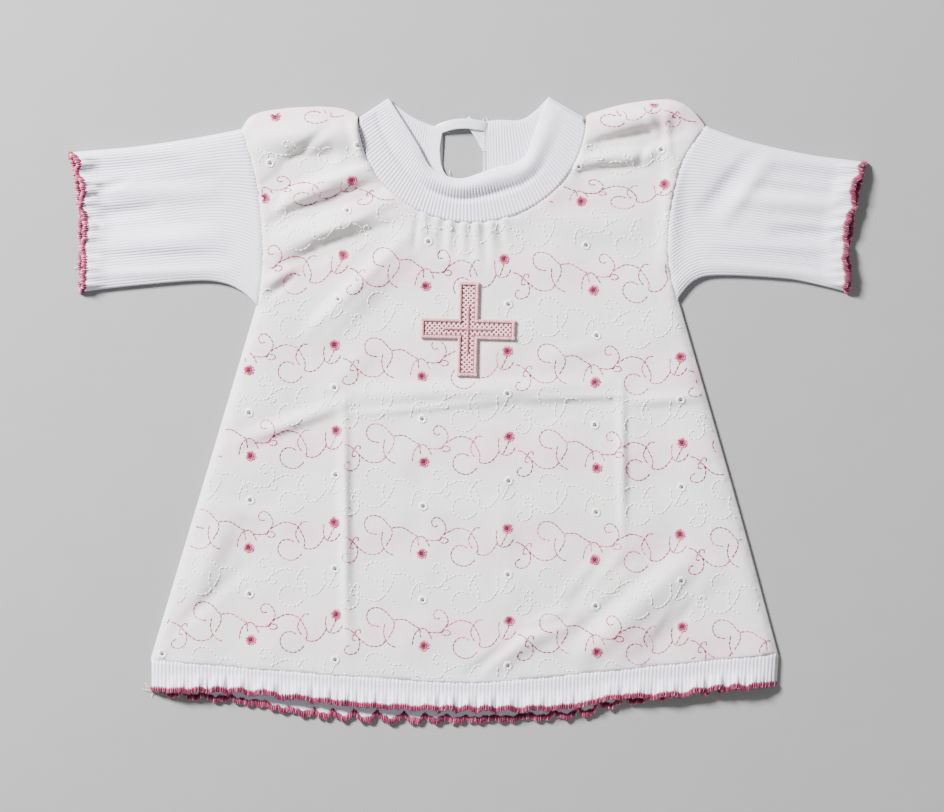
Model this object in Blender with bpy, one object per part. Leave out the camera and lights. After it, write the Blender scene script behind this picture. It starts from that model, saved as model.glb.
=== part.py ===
"""A baby's christening gown, laid out flat on its back.

Every size is in millimetres until add_solid makes the mesh in metres. X runs across the gown,
Y from the hem up to the neck, and Z up from the surface that the gown lies on. The origin is
the middle of the gown's outline, on that surface.
"""

import math
from collections import namedtuple

import bpy
import numpy as np
from mathutils import Vector
from mathutils.bvhtree import BVHTree
from mathutils.geometry import delaunay_2d_cdt

MM = 0.001

# Walls and gaps
CLOTH = 1.0
RIB_KNIT = 1.2
RIBBON = 1.0
SEAM_GAP = 0.55
BEAD_GAP = 0.45
LAYER_GAP = 0.3

# How high the upper layer's outer face lies: it rolls over at the free edges and sinks in the middle
REST = CLOTH + LAYER_GAP + CLOTH
EDGE_LOFT = 2.5
MIDDLE_LOFT = 0.9
LEAST_LOFT = 0.2
ROLL_REACH = 9.0
SAG_START = 12.0
SAG_END = 48.0
NECK_LIFT = 0.6
NECK_LIFT_REACH = 14.0

# Rib knit: one rib is a crest and a valley
RIB_PITCH = 2.4
RIB_RELIEF = 0.4
SLEEVE_RIB_PITCH = 2.3

# Overlocked edging, a bead of thread beyond the knit's raw edge
BEAD_WIDE = 2.6
BEAD_THICK = 1.6
BEAD_LOW = 0.95
BEAD_OVER = 1.85
BEAD_STEP = 4.6
PLAIN_STEP = 7.0

# Neckline ellipses of the front and of the shallower back
NECK_X = 3.0
NECK_Y = 187.0
NECK_HALF = 73.0
FRONT_DROP = 67.5
BACK_DROP = 41.0

Mark = namedtuple("Mark", "x y")

# Seams and free edges, each from its lower or inner end
SIDE_LEFT = (Mark(-202, -161), Mark(-171, -58), Mark(-134, 66))
SIDE_RIGHT = (Mark(198, -157), Mark(171, -58), Mark(134, 70))
ARMHOLE_LEFT = (Mark(-134, 66), Mark(-131, 90), Mark(-132, 122), Mark(-136, 150), Mark(-144, 178))
ARMHOLE_RIGHT = (
    Mark(134, 70), Mark(129, 92), Mark(129, 114), Mark(132, 138), Mark(140, 162), Mark(152, 180),
)
SHOULDER_LEFT = (
    Mark(-144, 178), Mark(-137, 187), Mark(-120, 191), Mark(-95, 192.5), Mark(-79, 191), Mark(-72, 187),
)
SHOULDER_RIGHT = (
    Mark(152, 180), Mark(144, 190), Mark(134, 196), Mark(122, 197), Mark(100, 194), Mark(78, 188),
)
SLEEVE_TOP_LEFT = (Mark(-144, 178), Mark(-176, 172), Mark(-215, 166.5), Mark(-253, 163.5))
SLEEVE_UNDER_LEFT = (
    Mark(-134, 66), Mark(-144, 75), Mark(-156, 80.5), Mark(-175, 82), Mark(-221, 78), Mark(-246, 75),
)
CUFF_LEFT = (Mark(-246, 75), Mark(-246, 100), Mark(-246.5, 125), Mark(-249, 147), Mark(-253, 163.5))
SLEEVE_TOP_RIGHT = (
    Mark(152, 180), Mark(174, 172), Mark(200, 165.5), Mark(226, 160.5), Mark(253, 157.5),
)
SLEEVE_UNDER_RIGHT = (
    Mark(134, 70), Mark(145, 82), Mark(161, 85.5), Mark(202, 83.5), Mark(222, 80), Mark(242, 75),
)
CUFF_RIGHT = (
    Mark(242, 75), Mark(243.5, 86), Mark(242, 98), Mark(245, 120), Mark(249, 140), Mark(253, 157.5),
)
HEM_SEAM = (
    Mark(-202, -161), Mark(-120, -168), Mark(-50, -173), Mark(7, -175.5), Mark(70, -170),
    Mark(130, -164), Mark(198, -157),
)
HEM_EDGE_FRONT = (
    Mark(-202, -178), Mark(-152, -178), Mark(-104, -183), Mark(-57, -187.5), Mark(10, -190),
    Mark(65, -188), Mark(94, -182), Mark(130, -181), Mark(159, -177), Mark(197, -174.5),
)
HEM_EDGE_BACK = (
    Mark(-202, -178.5), Mark(-144, -185.5), Mark(-104, -193), Mark(-33, -196.5), Mark(13, -197.3),
    Mark(70, -193), Mark(94, -186), Mark(150, -179), Mark(197, -175),
)

# The neck band's upper edge: its front from peak to peak, and the two back pieces beside the slit
NECK_TOP_FRONT = (
    Mark(-50, 196), Mark(-40, 181), Mark(-32, 168), Mark(-24, 154), Mark(-13, 148), Mark(-3, 146.5),
    Mark(10, 150.5), Mark(20, 154), Mark(30, 156), Mark(38, 162), Mark(43, 175), Mark(52, 197),
)
NECK_TOP_BACK_LEFT = (Mark(-15.5, 182), Mark(-20, 180), Mark(-27, 182), Mark(-37, 187), Mark(-50, 196))
NECK_TOP_BACK_RIGHT = (Mark(52, 197), Mark(43, 189), Mark(34, 184), Mark(20, 184), Mark(11.5, 183))

# The back slit, under the neck band's gap
SLIT_LEFT = -15.5
SLIT_RIGHT = 11.5
SLIT_END_X = -1.0
SLIT_END_Y = 62.0

# Folds of the upper layer: a line with its half width and how far it rises or sinks
Fold = namedtuple("Fold", "start_x start_y end_x end_y half_width rise")
FOLDS = (
    Fold(-138, 172, -66, 176, 15, 6.0),
    Fold(-134, 138, -82, 166, 9, -3.0),
    Fold(-126, 132, -58, 152, 9, 4.5),
    Fold(-116, 121, -50, 143, 7, -2.2),
    Fold(-130, 102, -40, 134, 14, 3.6),
    Fold(-112, 90, -40, 128, 9, -1.6),
    Fold(-104, 38, -26, 120, 16, 3.0),
    Fold(-132, 78, -106, 92, 8, 2.4),
    Fold(78, 178, 140, 192, 12, 4.6),
    Fold(74, 163, 128, 178, 8, -2.6),
    Fold(66, 156, 122, 164, 8, 3.8),
    Fold(70, 150, 118, 154, 6, -1.6),
    Fold(128, 86, 132, 168, 10, 2.4),
    Fold(44, 122, 112, 112, 14, 1.6),
    Fold(-150, -22, -72, 6, 8, 2.6),
    Fold(-86, 8, 108, 15, 10, 2.6),
    Fold(0, -4, 104, 2, 10, -1.2),
    Fold(98, 4, 152, 8, 6, 2.0),
    Fold(-80, 12, -76, -160, 6, 2.2),
    Fold(98, 20, 100, -86, 5, 1.5),
    Fold(66, -164, 148, -92, 14, 4.8),
    Fold(6, -166, 70, -128, 12, 3.0),
    Fold(118, -160, 150, -104, 9, -1.4),
    Fold(60, -126, 104, -84, 12, 1.8),
    Fold(-178, -126, -150, -64, 12, 1.8),
    Fold(-242, 150, -160, 160, 12, 1.6),
    Fold(-240, 98, -150, 108, 14, 1.6),
    Fold(154, 160, 232, 142, 12, 1.6),
    Fold(144, 104, 236, 100, 14, 1.6),
)

# Gathers below the front neck seam, one crest each
Gather = namedtuple("Gather", "x length rise")
GATHERS = (
    Gather(-27, 20, 1.6),
    Gather(-19, 15, 1.2),
    Gather(-11, 23, 1.9),
    Gather(-2, 26, 1.6),
    Gather(6, 24, 2.0),
    Gather(15, 30, 1.7),
    Gather(24, 16, 1.2),
)
GATHER_HALF_WIDTH = 3.6

# Ruffled edges: pitch along the edge, rise of the front and of the back layer, how far the wave
# runs back from the edge, and how far the edge sways in plan
Ruffle = namedtuple("Ruffle", "pitch rise back_rise fall sway back_sway")
HEM_RUFFLE = Ruffle(pitch=19.0, rise=3.4, back_rise=1.2, fall=10.0, sway=1.3, back_sway=0.8)
CUFF_RUFFLE = Ruffle(pitch=18.0, rise=2.8, back_rise=0.8, fall=13.0, sway=1.3, back_sway=0.6)
RUFFLE_ENDS = 0.05

# Neck band: a doubled strip that folds over at both sides of the neck. Its front lies on its back,
# and the front's upper edge rolls
FOLD_HEIGHT = 2.35
FOLD_INNER = 0.15
FOLD_ANGLES = (45, 90, 135)
FRONT_RIBS = 62
BACK_RIBS = 16
BACK_LEAN = 0.5
ROLL_RISE = 3.0
ROLL_MIDDLE = 0.80
ROLL_HALF_WIDTH = 0.34
OUTER_SHARES = (0.0, 0.40, 0.66, 0.86, 1.0)
INNER_SHARES = (1.0, 0.80, 0.50, 0.0)
FOLD_LOW_LEFT = Mark(-68.8, 186.6)
FOLD_PEAK_LEFT = Mark(-51.0, 198.4)
FOLD_LOW_RIGHT = Mark(74.8, 186.4)
FOLD_PEAK_RIGHT = Mark(52.9, 199.5)

# Cross applique: lines across it from its middle out, each with how far it stands up
CROSS_X = 0.5
CROSS_Y = 51.0
CROSS_TURN = -1.4
CROSS_THICK = 1.0
CROSS_LIFT = 0.35
CROSS_HALF_BAR = 6.4
Line = namedtuple("Line", "away rise")
CROSS_SPINE = Line(0.0, 0.35)
CROSS_FIELD = (Line(2.2, 0.0), Line(4.4, 0.0))
CROSS_BAR_RIM = (Line(5.4, 0.5), Line(6.4, 0.0))
CROSS_ARM = (Line(10.0, 0.0), Line(15.0, 0.0), Line(21.0, 0.0), Line(28.1, 0.0))
CROSS_END_RIM = (Line(29.1, 0.5), Line(30.1, 0.0))
CROSS_SPINE_REACH = 15.0

# Ribbon tie: sections along the middle of each strand
Section = namedtuple("Section", "x y z")
TIE_WIDE = 6.4
TIE_OVER = (
    Section(-20.0, 178.6, 3.15),
    Section(-15.5, 180.0, 3.3),
    Section(-9.0, 181.8, 3.9),
    Section(-1.0, 182.4, 4.3),
    Section(6.0, 181.6, 3.9),
    Section(12.0, 180.4, 3.3),
    Section(16.5, 179.8, 3.15),
)
TIE_UNDER = (
    Section(2.0, 184.0, 2.9),
    Section(5.0, 176.0, 2.4),
    Section(7.2, 168.0, 1.5),
    Section(7.4, 161.5, 1.1),
)

# How finely the panels are drawn: steps along each edge, and between the points inside
HEM_STEP = 13.0
SIDE_STEP = 14.0
ARMHOLE_STEP = 8.0
SHOULDER_STEP = 8.0
NECK_SIDE_POINTS = 10
ROLL_ROWS = (2.4, 6.8)
GATHER_ROWS = (0.18, 0.5, 0.85)
FOLD_STEP = 9.0
FOLD_APART = 5.5
GRID_STEP = 12.8
GRID_APART = 7.8

# Rows along the tubes, as shares of their length
SLEEVE_ROWS = (0, 0.2, 0.55, 0.84, 0.93, 1.0)
HEM_ROWS = (0, 0.4, 0.75, 1.0)

COLOURS = {
    "batiste": (0.90, 0.90, 0.89),
    "rib": (0.93, 0.93, 0.96),
    "rose_thread": (0.76, 0.23, 0.42),
    "pale_rose": (0.90, 0.62, 0.66),
    "satin": (0.88, 0.89, 0.92),
}


def smooth_line(marks, steps=16):
    """A dense line through the marks, smooth at each (Catmull-Rom)."""
    p = np.array(marks, float)
    p = np.vstack([2 * p[0] - p[1], p, 2 * p[-1] - p[-2]])
    u = (np.arange(steps) / steps)[:, None]
    runs = []
    for a, b, c, d in zip(p[:-3], p[1:-2], p[2:-1], p[3:]):
        square = (2 * a - 5 * b + 4 * c - d) * u**2
        cube = (3 * b - a - 3 * c + d) * u**3
        runs.append(0.5 * (2 * b + (c - a) * u + square + cube))
    return np.vstack(runs + [p[-2:-1]])


def along(line, shares):
    """The points of a line at these shares of its length."""
    gone = np.concatenate([[0], np.cumsum(np.linalg.norm(np.diff(line, axis=0), axis=1))])
    at = np.asarray(shares) * gone[-1]
    return np.stack([np.interp(at, gone, line[:, k]) for k in range(line.shape[1])], axis=1)


def neckline(drop, shares, inset=0.0):
    """Points of a neckline ellipse from its left end to its right end."""
    angle = math.pi * np.asarray(shares)
    x = NECK_X - (NECK_HALF - inset) * np.cos(angle)
    y = NECK_Y - (drop - inset) * np.sin(angle)
    return np.stack([x, y], axis=1)


def smoothstep(low, high, value):
    """0 below low, 1 above high, and smooth between them."""
    share = np.clip((value - low) / (high - low), 0, 1)
    return share * share * (3 - 2 * share)


FREE_EDGES = [
    smooth_line(marks)
    for marks in (
        SIDE_LEFT,
        SIDE_RIGHT,
        SHOULDER_LEFT,
        SHOULDER_RIGHT,
        SLEEVE_TOP_LEFT,
        SLEEVE_UNDER_LEFT,
        SLEEVE_TOP_RIGHT,
        SLEEVE_UNDER_RIGHT,
        (SIDE_LEFT[0], HEM_EDGE_FRONT[0]),
        (SIDE_RIGHT[0], HEM_EDGE_FRONT[-1]),
    )
]


def distance_to_line(points, line):
    """How far each point is from a line, in plan."""
    best = np.full(len(points), np.inf)
    for a, b in zip(line[:-1], line[1:]):
        run = b - a
        share = np.clip((points - a) @ run / (run @ run), 0, 1)
        best = np.minimum(best, np.linalg.norm(points - a - share[:, None] * run, axis=1))
    return best


def fold_height(points):
    """What the folds and gathers add to the upper layer."""
    height = np.zeros(len(points))
    for fold in FOLDS:
        start = np.array([fold.start_x, fold.start_y])
        run = np.array([fold.end_x, fold.end_y]) - start
        length = np.linalg.norm(run)
        share = np.clip((points - start) @ run / length**2, 0, 1)
        away = np.abs((points - start) @ np.array([-run[1], run[0]])) / length
        profile = np.cos(0.5 * math.pi * np.clip(away / fold.half_width, 0, 1)) ** 2
        height += fold.rise * profile * np.sin(math.pi * share) ** 0.7
    for gather in GATHERS:
        top = neckline(FRONT_DROP, [math.acos((NECK_X - gather.x) / NECK_HALF) / math.pi])[0]
        below = top[1] - points[:, 1]
        away = np.abs(points[:, 0] - gather.x * (1 + 0.004 * below))
        fade = np.clip(1 - below / gather.length, 0, 1) * (below > -4)
        height += gather.rise * fade * np.cos(0.5 * math.pi * np.clip(away / GATHER_HALF_WIDTH, 0, 1)) ** 2
    return height


def skin_height(points):
    """Height of the upper layer's outer face, the same function for panels, sleeves and hem band."""
    reach = np.min([distance_to_line(points, line) for line in FREE_EDGES], axis=0)
    swell = np.sqrt(1 - (1 - np.clip(reach / ROLL_REACH, 0, 1)) ** 2)
    loft = EDGE_LOFT + (MIDDLE_LOFT - EDGE_LOFT) * smoothstep(SAG_START, SAG_END, reach)
    from_neck = distance_to_line(points, neckline(FRONT_DROP, np.linspace(0, 1, 60)))
    loft += NECK_LIFT * (1 - smoothstep(0, NECK_LIFT_REACH, from_neck))
    return REST + swell * np.maximum(loft + fold_height(points), LEAST_LOFT)


def net_normals(net):
    """Unit normals of a net of points, upwards, from the differences between neighbours."""
    normal = np.cross(np.gradient(net, axis=1), np.gradient(net, axis=0))
    normal *= np.sign(normal[..., 2:])
    return normal / np.linalg.norm(normal, axis=2, keepdims=True)


def volume_of(points, faces):
    """Signed volume of a closed mesh."""
    total = 0.0
    for face in faces:
        for k in range(1, len(face) - 1):
            total += np.dot(points[face[0]], np.cross(points[face[k]], points[face[k + 1]]))
    return total / 6


def add_solid(name, points, faces, colour):
    """Makes one closed solid in metres that faces outwards, smooth but for its sharp edges."""
    if volume_of(points, faces) < 0:
        faces = [tuple(face)[::-1] for face in faces]
    mesh = bpy.data.meshes.new(name)
    mesh.from_pydata((np.asarray(points) * MM).tolist(), [], [list(map(int, f)) for f in faces])
    mesh.update()
    mesh.shade_smooth()
    mesh.set_sharp_from_angle(angle=math.radians(50))
    mesh.materials.append(material(colour))
    made = bpy.data.objects.new(name, mesh)
    bpy.context.scene.collection.objects.link(made)
    return made


def material(name):
    """One fabric finish, made once."""
    found = bpy.data.materials.get(name)
    if found:
        return found
    made = bpy.data.materials.new(name)
    made.use_nodes = True
    surface = made.node_tree.nodes["Principled BSDF"]
    surface.inputs["Base Color"].default_value = (*COLOURS[name], 1)
    surface.inputs["Roughness"].default_value = 0.45 if name == "satin" else 0.85
    surface.inputs["Metallic"].default_value = 0.0
    return made


def wall(name, outline, inner_points, thick, colour):
    """A wall of cloth under the upper layer's outer face, triangulated in plan.

    The border of its inner face stays right under the outer one, so that seams stay apart.
    """
    count = len(outline)
    plan = [Vector(p) for p in np.vstack([outline, inner_points])]
    made = delaunay_2d_cdt(plan, [], [list(range(count))], 1, 1e-6)
    flat = np.array([tuple(p) for p in made[0]])
    faces = [tuple(face) for face in made[2]]
    height = skin_height(flat)
    slopes = [skin_height(flat + step) - skin_height(flat - step) for step in 0.5 * np.eye(2)]
    normal = np.column_stack([-slopes[0], -slopes[1], np.ones(len(flat))])
    normal /= np.linalg.norm(normal, axis=1, keepdims=True)
    outer = np.column_stack([flat, height])
    inner = outer - thick * normal
    inner[:count] = outer[:count] - (0, 0, thick)
    size = len(flat)
    faces += [tuple(k + size for k in face[::-1]) for face in made[2]]
    faces += [((k + 1) % count, k, k + size, (k + 1) % count + size) for k in range(count)]
    return add_solid(name, np.vstack([outer, inner]), faces, colour)


def zip_loops(outer, outer_shares, inner, inner_shares):
    """Triangles between two closed loops of different counts, matched by their shares."""
    faces = []
    i = j = 0
    while i < len(outer) or j < len(inner):
        next_outer = outer_shares[i + 1] if i + 1 < len(outer) else (1.0 if i < len(outer) else 9.0)
        next_inner = inner_shares[j + 1] if j + 1 < len(inner) else (1.0 if j < len(inner) else 9.0)
        a, b = outer[i % len(outer)], inner[j % len(inner)]
        if next_outer <= next_inner:
            faces.append((a, outer[(i + 1) % len(outer)], b))
            i += 1
        else:
            faces.append((a, inner[(j + 1) % len(inner)], b))
            j += 1
    return faces


def tube(name, outer, outer_shares, inner, inner_shares, colour):
    """An open-ended flattened tube: rings of the outer face and rings of the inner one."""
    rings, around = outer.shape[:2]
    inner_around = inner.shape[1]
    base = rings * around
    faces = []
    for r in range(rings - 1):
        for c in range(around):
            d = (c + 1) % around
            faces.append((r * around + c, (r + 1) * around + c, (r + 1) * around + d, r * around + d))
        for c in range(inner_around):
            d = (c + 1) % inner_around
            a, b = base + r * inner_around, base + (r + 1) * inner_around
            faces.append((a + c, a + d, b + d, b + c))
    first = zip_loops(range(around), outer_shares, range(base, base + inner_around), inner_shares)
    last_base = base + (rings - 1) * inner_around
    last_outer = range((rings - 1) * around, rings * around)
    last = zip_loops(last_outer, outer_shares, range(last_base, last_base + inner_around), inner_shares)
    faces += first + [f[::-1] for f in last]
    points = np.vstack([outer.reshape(-1, 3), inner.reshape(-1, 3)])
    return add_solid(name, points, faces, colour)


def filled(bottom, top, left, right, columns, rows):
    """A net between a bottom and a top line, whose sides bend to the left and right lines."""
    s, t = np.asarray(columns)[None, :, None], np.asarray(rows)[:, None, None]
    net = (1 - t) * bottom[None] + t * top[None]
    from_left = left[:, None] - net[:, :1]
    from_right = right[:, None] - net[:, -1:]
    return net + (1 - s) * from_left + s * from_right


def panel_outline(neck):
    """A panel's outline in plan, anticlockwise from the hem's left end. neck runs left to right."""
    def part(marks, step):
        """One edge, cut into steps of about this length."""
        line = smooth_line(marks)
        length = np.linalg.norm(np.diff(line, axis=0), axis=1).sum()
        return along(line, np.linspace(0, 1, max(2, round(length / step)) + 1))

    return np.vstack(
        [
            part(HEM_SEAM, HEM_STEP)[:-1],
            part(SIDE_RIGHT, SIDE_STEP)[:-1],
            part(ARMHOLE_RIGHT, ARMHOLE_STEP)[:-1],
            part(SHOULDER_RIGHT, SHOULDER_STEP)[:-1],
            neck[::-1],
            part(SHOULDER_LEFT, SHOULDER_STEP)[-2::-1],
            part(ARMHOLE_LEFT, ARMHOLE_STEP)[-2::-1],
            part(SIDE_LEFT, SIDE_STEP)[-2:0:-1],
        ]
    )


def front_neck():
    """The front neck seam, with a point at each gather's crest and valley."""
    crests = np.array([g.x for g in GATHERS], float)
    fine = np.concatenate([crests, (crests[:-1] + crests[1:]) / 2, [crests[0] - 4, crests[-1] + 4]])
    fine = np.sort(np.arccos((NECK_X - fine) / NECK_HALF) / math.pi)
    left = np.linspace(0, fine[0], NECK_SIDE_POINTS)[:-1]
    right = np.linspace(fine[-1], 1, NECK_SIDE_POINTS)[1:]
    return neckline(FRONT_DROP, np.concatenate([left, fine, right]))


def inside(points, outline):
    """Which points lie inside an outline, by counting crossings to the right."""
    within = np.zeros(len(points), bool)
    for a, b in zip(outline, np.roll(outline, -1, axis=0)):
        spans = (a[1] > points[:, 1]) != (b[1] > points[:, 1])
        if a[1] != b[1]:
            at = a[0] + (points[:, 1] - a[1]) * (b[0] - a[0]) / (b[1] - a[1])
            within ^= spans & (points[:, 0] < at)
    return within


def panel_points(outline):
    """Points inside the front: rows along the rolled edges, the gathers and folds, and a grid."""
    wanted = []
    for marks, side in ((SIDE_LEFT, -1), (SIDE_RIGHT, 1), (SHOULDER_LEFT, -1), (SHOULDER_RIGHT, 1)):
        line = smooth_line(marks)
        length = np.linalg.norm(np.diff(line, axis=0), axis=1).sum()
        row = along(line, np.linspace(0.01, 0.99, round(length / SIDE_STEP) + 1))
        run = np.gradient(row, axis=0)
        run /= np.linalg.norm(run, axis=1, keepdims=True)
        normal = side * np.column_stack([-run[:, 1], run[:, 0]])
        wanted += [(row + normal * depth, depth * 0.9) for depth in ROLL_ROWS]
    for crest in GATHERS:
        for x in (crest.x, crest.x + GATHER_HALF_WIDTH):
            top = neckline(FRONT_DROP, [math.acos((NECK_X - x) / NECK_HALF) / math.pi])[0]
            wanted.append((top - [(0, crest.length * share) for share in GATHER_ROWS], 3.0))
    for fold in FOLDS:
        ends = np.array([[fold.start_x, fold.start_y], [fold.end_x, fold.end_y]])
        count = round(np.linalg.norm(ends[1] - ends[0]) / FOLD_STEP)
        shares = np.linspace(0.06, 0.94, count + 1)[:, None]
        wanted.append((ends[0] + (ends[1] - ends[0]) * shares, FOLD_APART))
    rows = np.arange(outline[:, 1].min(), outline[:, 1].max(), GRID_STEP * math.sqrt(0.75))
    for k, y in enumerate(rows):
        x = np.arange(outline[:, 0].min() + (k % 2) * GRID_STEP / 2, outline[:, 0].max(), GRID_STEP)
        wanted.append((np.column_stack([x, np.full(len(x), y)]), GRID_APART))
    closed = np.vstack([outline, outline[:1]])
    kept = np.zeros((0, 2))
    for points, apart in wanted:
        points = points[inside(points, outline)]
        points = points[distance_to_line(points, closed) > min(apart * 0.9, 4.5)]
        for point in points:
            if not len(kept) or np.linalg.norm(kept - point, axis=1).min() > apart:
                kept = np.vstack([kept, point])
    return kept


def lifted(plan):
    """Plan points raised to the upper layer's outer face."""
    flat = plan.reshape(-1, 2)
    return np.concatenate([flat, skin_height(flat)[:, None]], axis=1).reshape(*plan.shape[:-1], 3)


def inner_face(net, thick):
    """The inner face of a wall. Its border stays right under the outer one, so that seams stay apart."""
    inner = net - thick * net_normals(net)
    for row, column in ((0, slice(None)), (-1, slice(None)), (slice(None), 0), (slice(None), -1)):
        inner[row, column, :2] = net[row, column, :2]
        inner[row, column, 2] = net[row, column, 2] - thick
    return inner


def front_panel():
    """The gown's front: a wall of cloth with its folds and gathers."""
    outline = panel_outline(front_neck())
    return wall("front_panel", outline, panel_points(outline), CLOTH, "batiste")


def back_panel():
    """A flat plate: the same outline with the shallow back neckline and the slit."""
    def neck_share(x):
        """Where along the neckline a given X lies, from 0 to 1."""
        return math.acos((NECK_X - x) / NECK_HALF) / math.pi

    left_neck = neckline(BACK_DROP, np.linspace(0, neck_share(SLIT_LEFT), 10))
    right_neck = neckline(BACK_DROP, np.linspace(neck_share(SLIT_RIGHT), 1, 10))
    end = np.array([SLIT_END_X, SLIT_END_Y])
    outline = panel_outline(np.vstack([left_neck, [end + (-1, 4), end, end + (1, 4)], right_neck]))
    count = len(outline)
    points = np.vstack([np.column_stack([outline, np.full(count, z)]) for z in (0.0, CLOTH)])
    faces = [tuple(range(count - 1, -1, -1)), tuple(range(count, 2 * count))]
    faces += [(a, (a + 1) % count, (a + 1) % count + count, a + count) for a in range(count)]
    return add_solid("back_panel", points, faces, "batiste")


class FlatTube:
    """A flattened rib knit tube, from its seam to its ruffled edge, and the bead on that edge.

    start is the seam, and front_end and back_end the edges of the two layers. All three run from
    one free edge to the other, and lower and upper are those free edges. place picks the axis, 0
    for X or 1 for Y, along which the ruffle's waves follow each other.
    """

    def __init__(self, start, front_end, back_end, lower, upper, rows, ruffle, pitch, place):
        self.start, self.front_end, self.back_end = start, front_end, back_end
        self.lower, self.upper = lower, upper
        self.rows, self.ruffle, self.pitch, self.place = np.array(rows), ruffle, pitch, place

    def plan(self, shares, end):
        """One layer's net in plan."""
        near, far = along(self.start, shares), along(end, shares)
        lower = along(np.vstack([near[:1], self.lower[1:-1], far[:1]]), self.rows)
        upper = along(np.vstack([near[-1:], self.upper[1:-1], far[-1:]]), self.rows)
        return filled(near, far, lower, upper, shares, self.rows)

    def waves(self, plan, shares):
        """The front's and the back's own waves, and how strong they are at each point."""
        length = np.linalg.norm(plan[-1] - plan[0], axis=1)
        to_edge = (1 - self.rows)[:, None] * length[None]
        strength = (1 - smoothstep(0, self.ruffle.fall, to_edge)) * ends_faded(shares)[None]
        place = plan[..., self.place]
        return ruffle_wave(place, self.ruffle, 0.0), ruffle_wave(place, self.ruffle, 2.2), strength

    def swayed(self, plan, wave, strength, sway):
        """The plan with its last row pushed out at the wave's crests and drawn in at its valleys."""
        plan = plan.copy()
        outward = plan[-1] - plan[-2]
        outward = outward / np.linalg.norm(outward, axis=1, keepdims=True)
        plan[-1] += sway * ((wave[-1] - 0.5) * strength[-1])[:, None] * outward
        return plan

    def front(self, shares):
        """The front layer's outer face."""
        plan = self.plan(shares, self.front_end)
        front, back, strength = self.waves(plan, shares)
        height = lifted(plan)[..., 2]
        height += strength * (self.ruffle.rise * front + self.ruffle.back_rise * back)
        return np.dstack([self.swayed(plan, front, strength, self.ruffle.sway), height])

    def back(self, shares):
        """The back layer's underside, which rests on the floor but for its ruffle."""
        plan = self.plan(shares, self.back_end)
        _, back, strength = self.waves(plan, shares)
        swayed = self.swayed(plan, back, strength, self.ruffle.back_sway)
        return np.dstack([swayed, self.ruffle.back_rise * strength * back])

    def build(self, name):
        """The tube: ribs are raised in the front's outer points only."""
        length = np.linalg.norm(np.diff(self.start, axis=0), axis=1).sum()
        ribs = round(length / self.pitch)
        ribbed = np.linspace(0, 1, 2 * ribs + 1)
        near_ends = np.array([1.6, 4.0]) / length
        plain = np.linspace(0, 1, round(length / PLAIN_STEP) + 1)
        plain = np.sort(np.concatenate([plain, near_ends, 1 - near_ends]))
        top = self.front(ribbed)
        top[..., 2] += RIB_RELIEF * (np.arange(2 * ribs + 1) % 2)
        bottom = self.back(plain)
        under = inner_face(self.front(plain), RIB_KNIT)
        roof = bottom + np.array([0, 0, RIB_KNIT])
        under[..., 2] = np.maximum(under[..., 2], roof[..., 2] + LAYER_GAP)
        bottom = drawn_in(bottom, 0.5)
        roof = drawn_in(roof, RIB_KNIT)
        under = drawn_in(under, RIB_KNIT)
        outer = np.concatenate([top, bottom[:, ::-1]], axis=1)
        inner = np.concatenate([under, roof[:, ::-1]], axis=1)
        outer_shares = np.concatenate([ribbed / 2, 0.5 + plain / 2 + 1e-6])
        inner_shares = np.concatenate([plain / 2, 0.5 + plain / 2 + 1e-6])
        return tube(name, outer, outer_shares, inner, inner_shares, "rib")

    def edging(self, name):
        """The bead round the ruffled edge, which turns over at both free edges."""
        length = np.linalg.norm(np.diff(self.front_end, axis=0), axis=1).sum()
        inset = 1.0 / length
        shares = np.linspace(inset, 1 - inset, round(length / BEAD_STEP) + 1)
        front, back = self.front(shares)[-2:], self.back(shares)[-2:]
        back[..., 2] += BEAD_LOW
        front[..., 2] = np.maximum(front[..., 2] - RIB_KNIT / 2, back[..., 2] + BEAD_OVER)
        corners = self.front(np.array([0.0, 1.0]))[-2:]
        corners[..., 2] = BEAD_LOW + BEAD_OVER / 2
        edge, behind = (
            np.concatenate([front[k], corners[k, 1:], back[k, ::-1], corners[k, :1]]) for k in (1, 0)
        )
        outward = edge - behind
        outward[:, 2] = 0
        outward /= np.linalg.norm(outward, axis=1, keepdims=True)
        return bead(name, edge, outward)


def ruffle_wave(place, ruffle, shift):
    """An uneven wave along an edge, 0 in its valleys and 1 on its crests."""
    wander = 0.9 * np.sin(place / 31 + 2 * shift) + 0.6 * np.sin(place / 13 + shift)
    return 0.5 + 0.5 * np.cos(2 * math.pi * place / ruffle.pitch + wander + shift)


def ends_faded(shares):
    """1 along an edge, and 0 at both its ends."""
    shares = np.asarray(shares)
    return smoothstep(0, RUFFLE_ENDS, np.minimum(shares, 1 - shares))


def drawn_in(net, distance):
    """Moves a net's first and last points in from the free edges."""
    net = net.copy()
    for edge, step in ((0, 1), (-1, -1)):
        run = net[:, edge + 3 * step, :2] - net[:, edge, :2]
        run /= np.linalg.norm(run, axis=1, keepdims=True)
        for k in range(3):
            net[:, edge + k * step, :2] += run * distance * (1 - k / 3)
    return net


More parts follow.
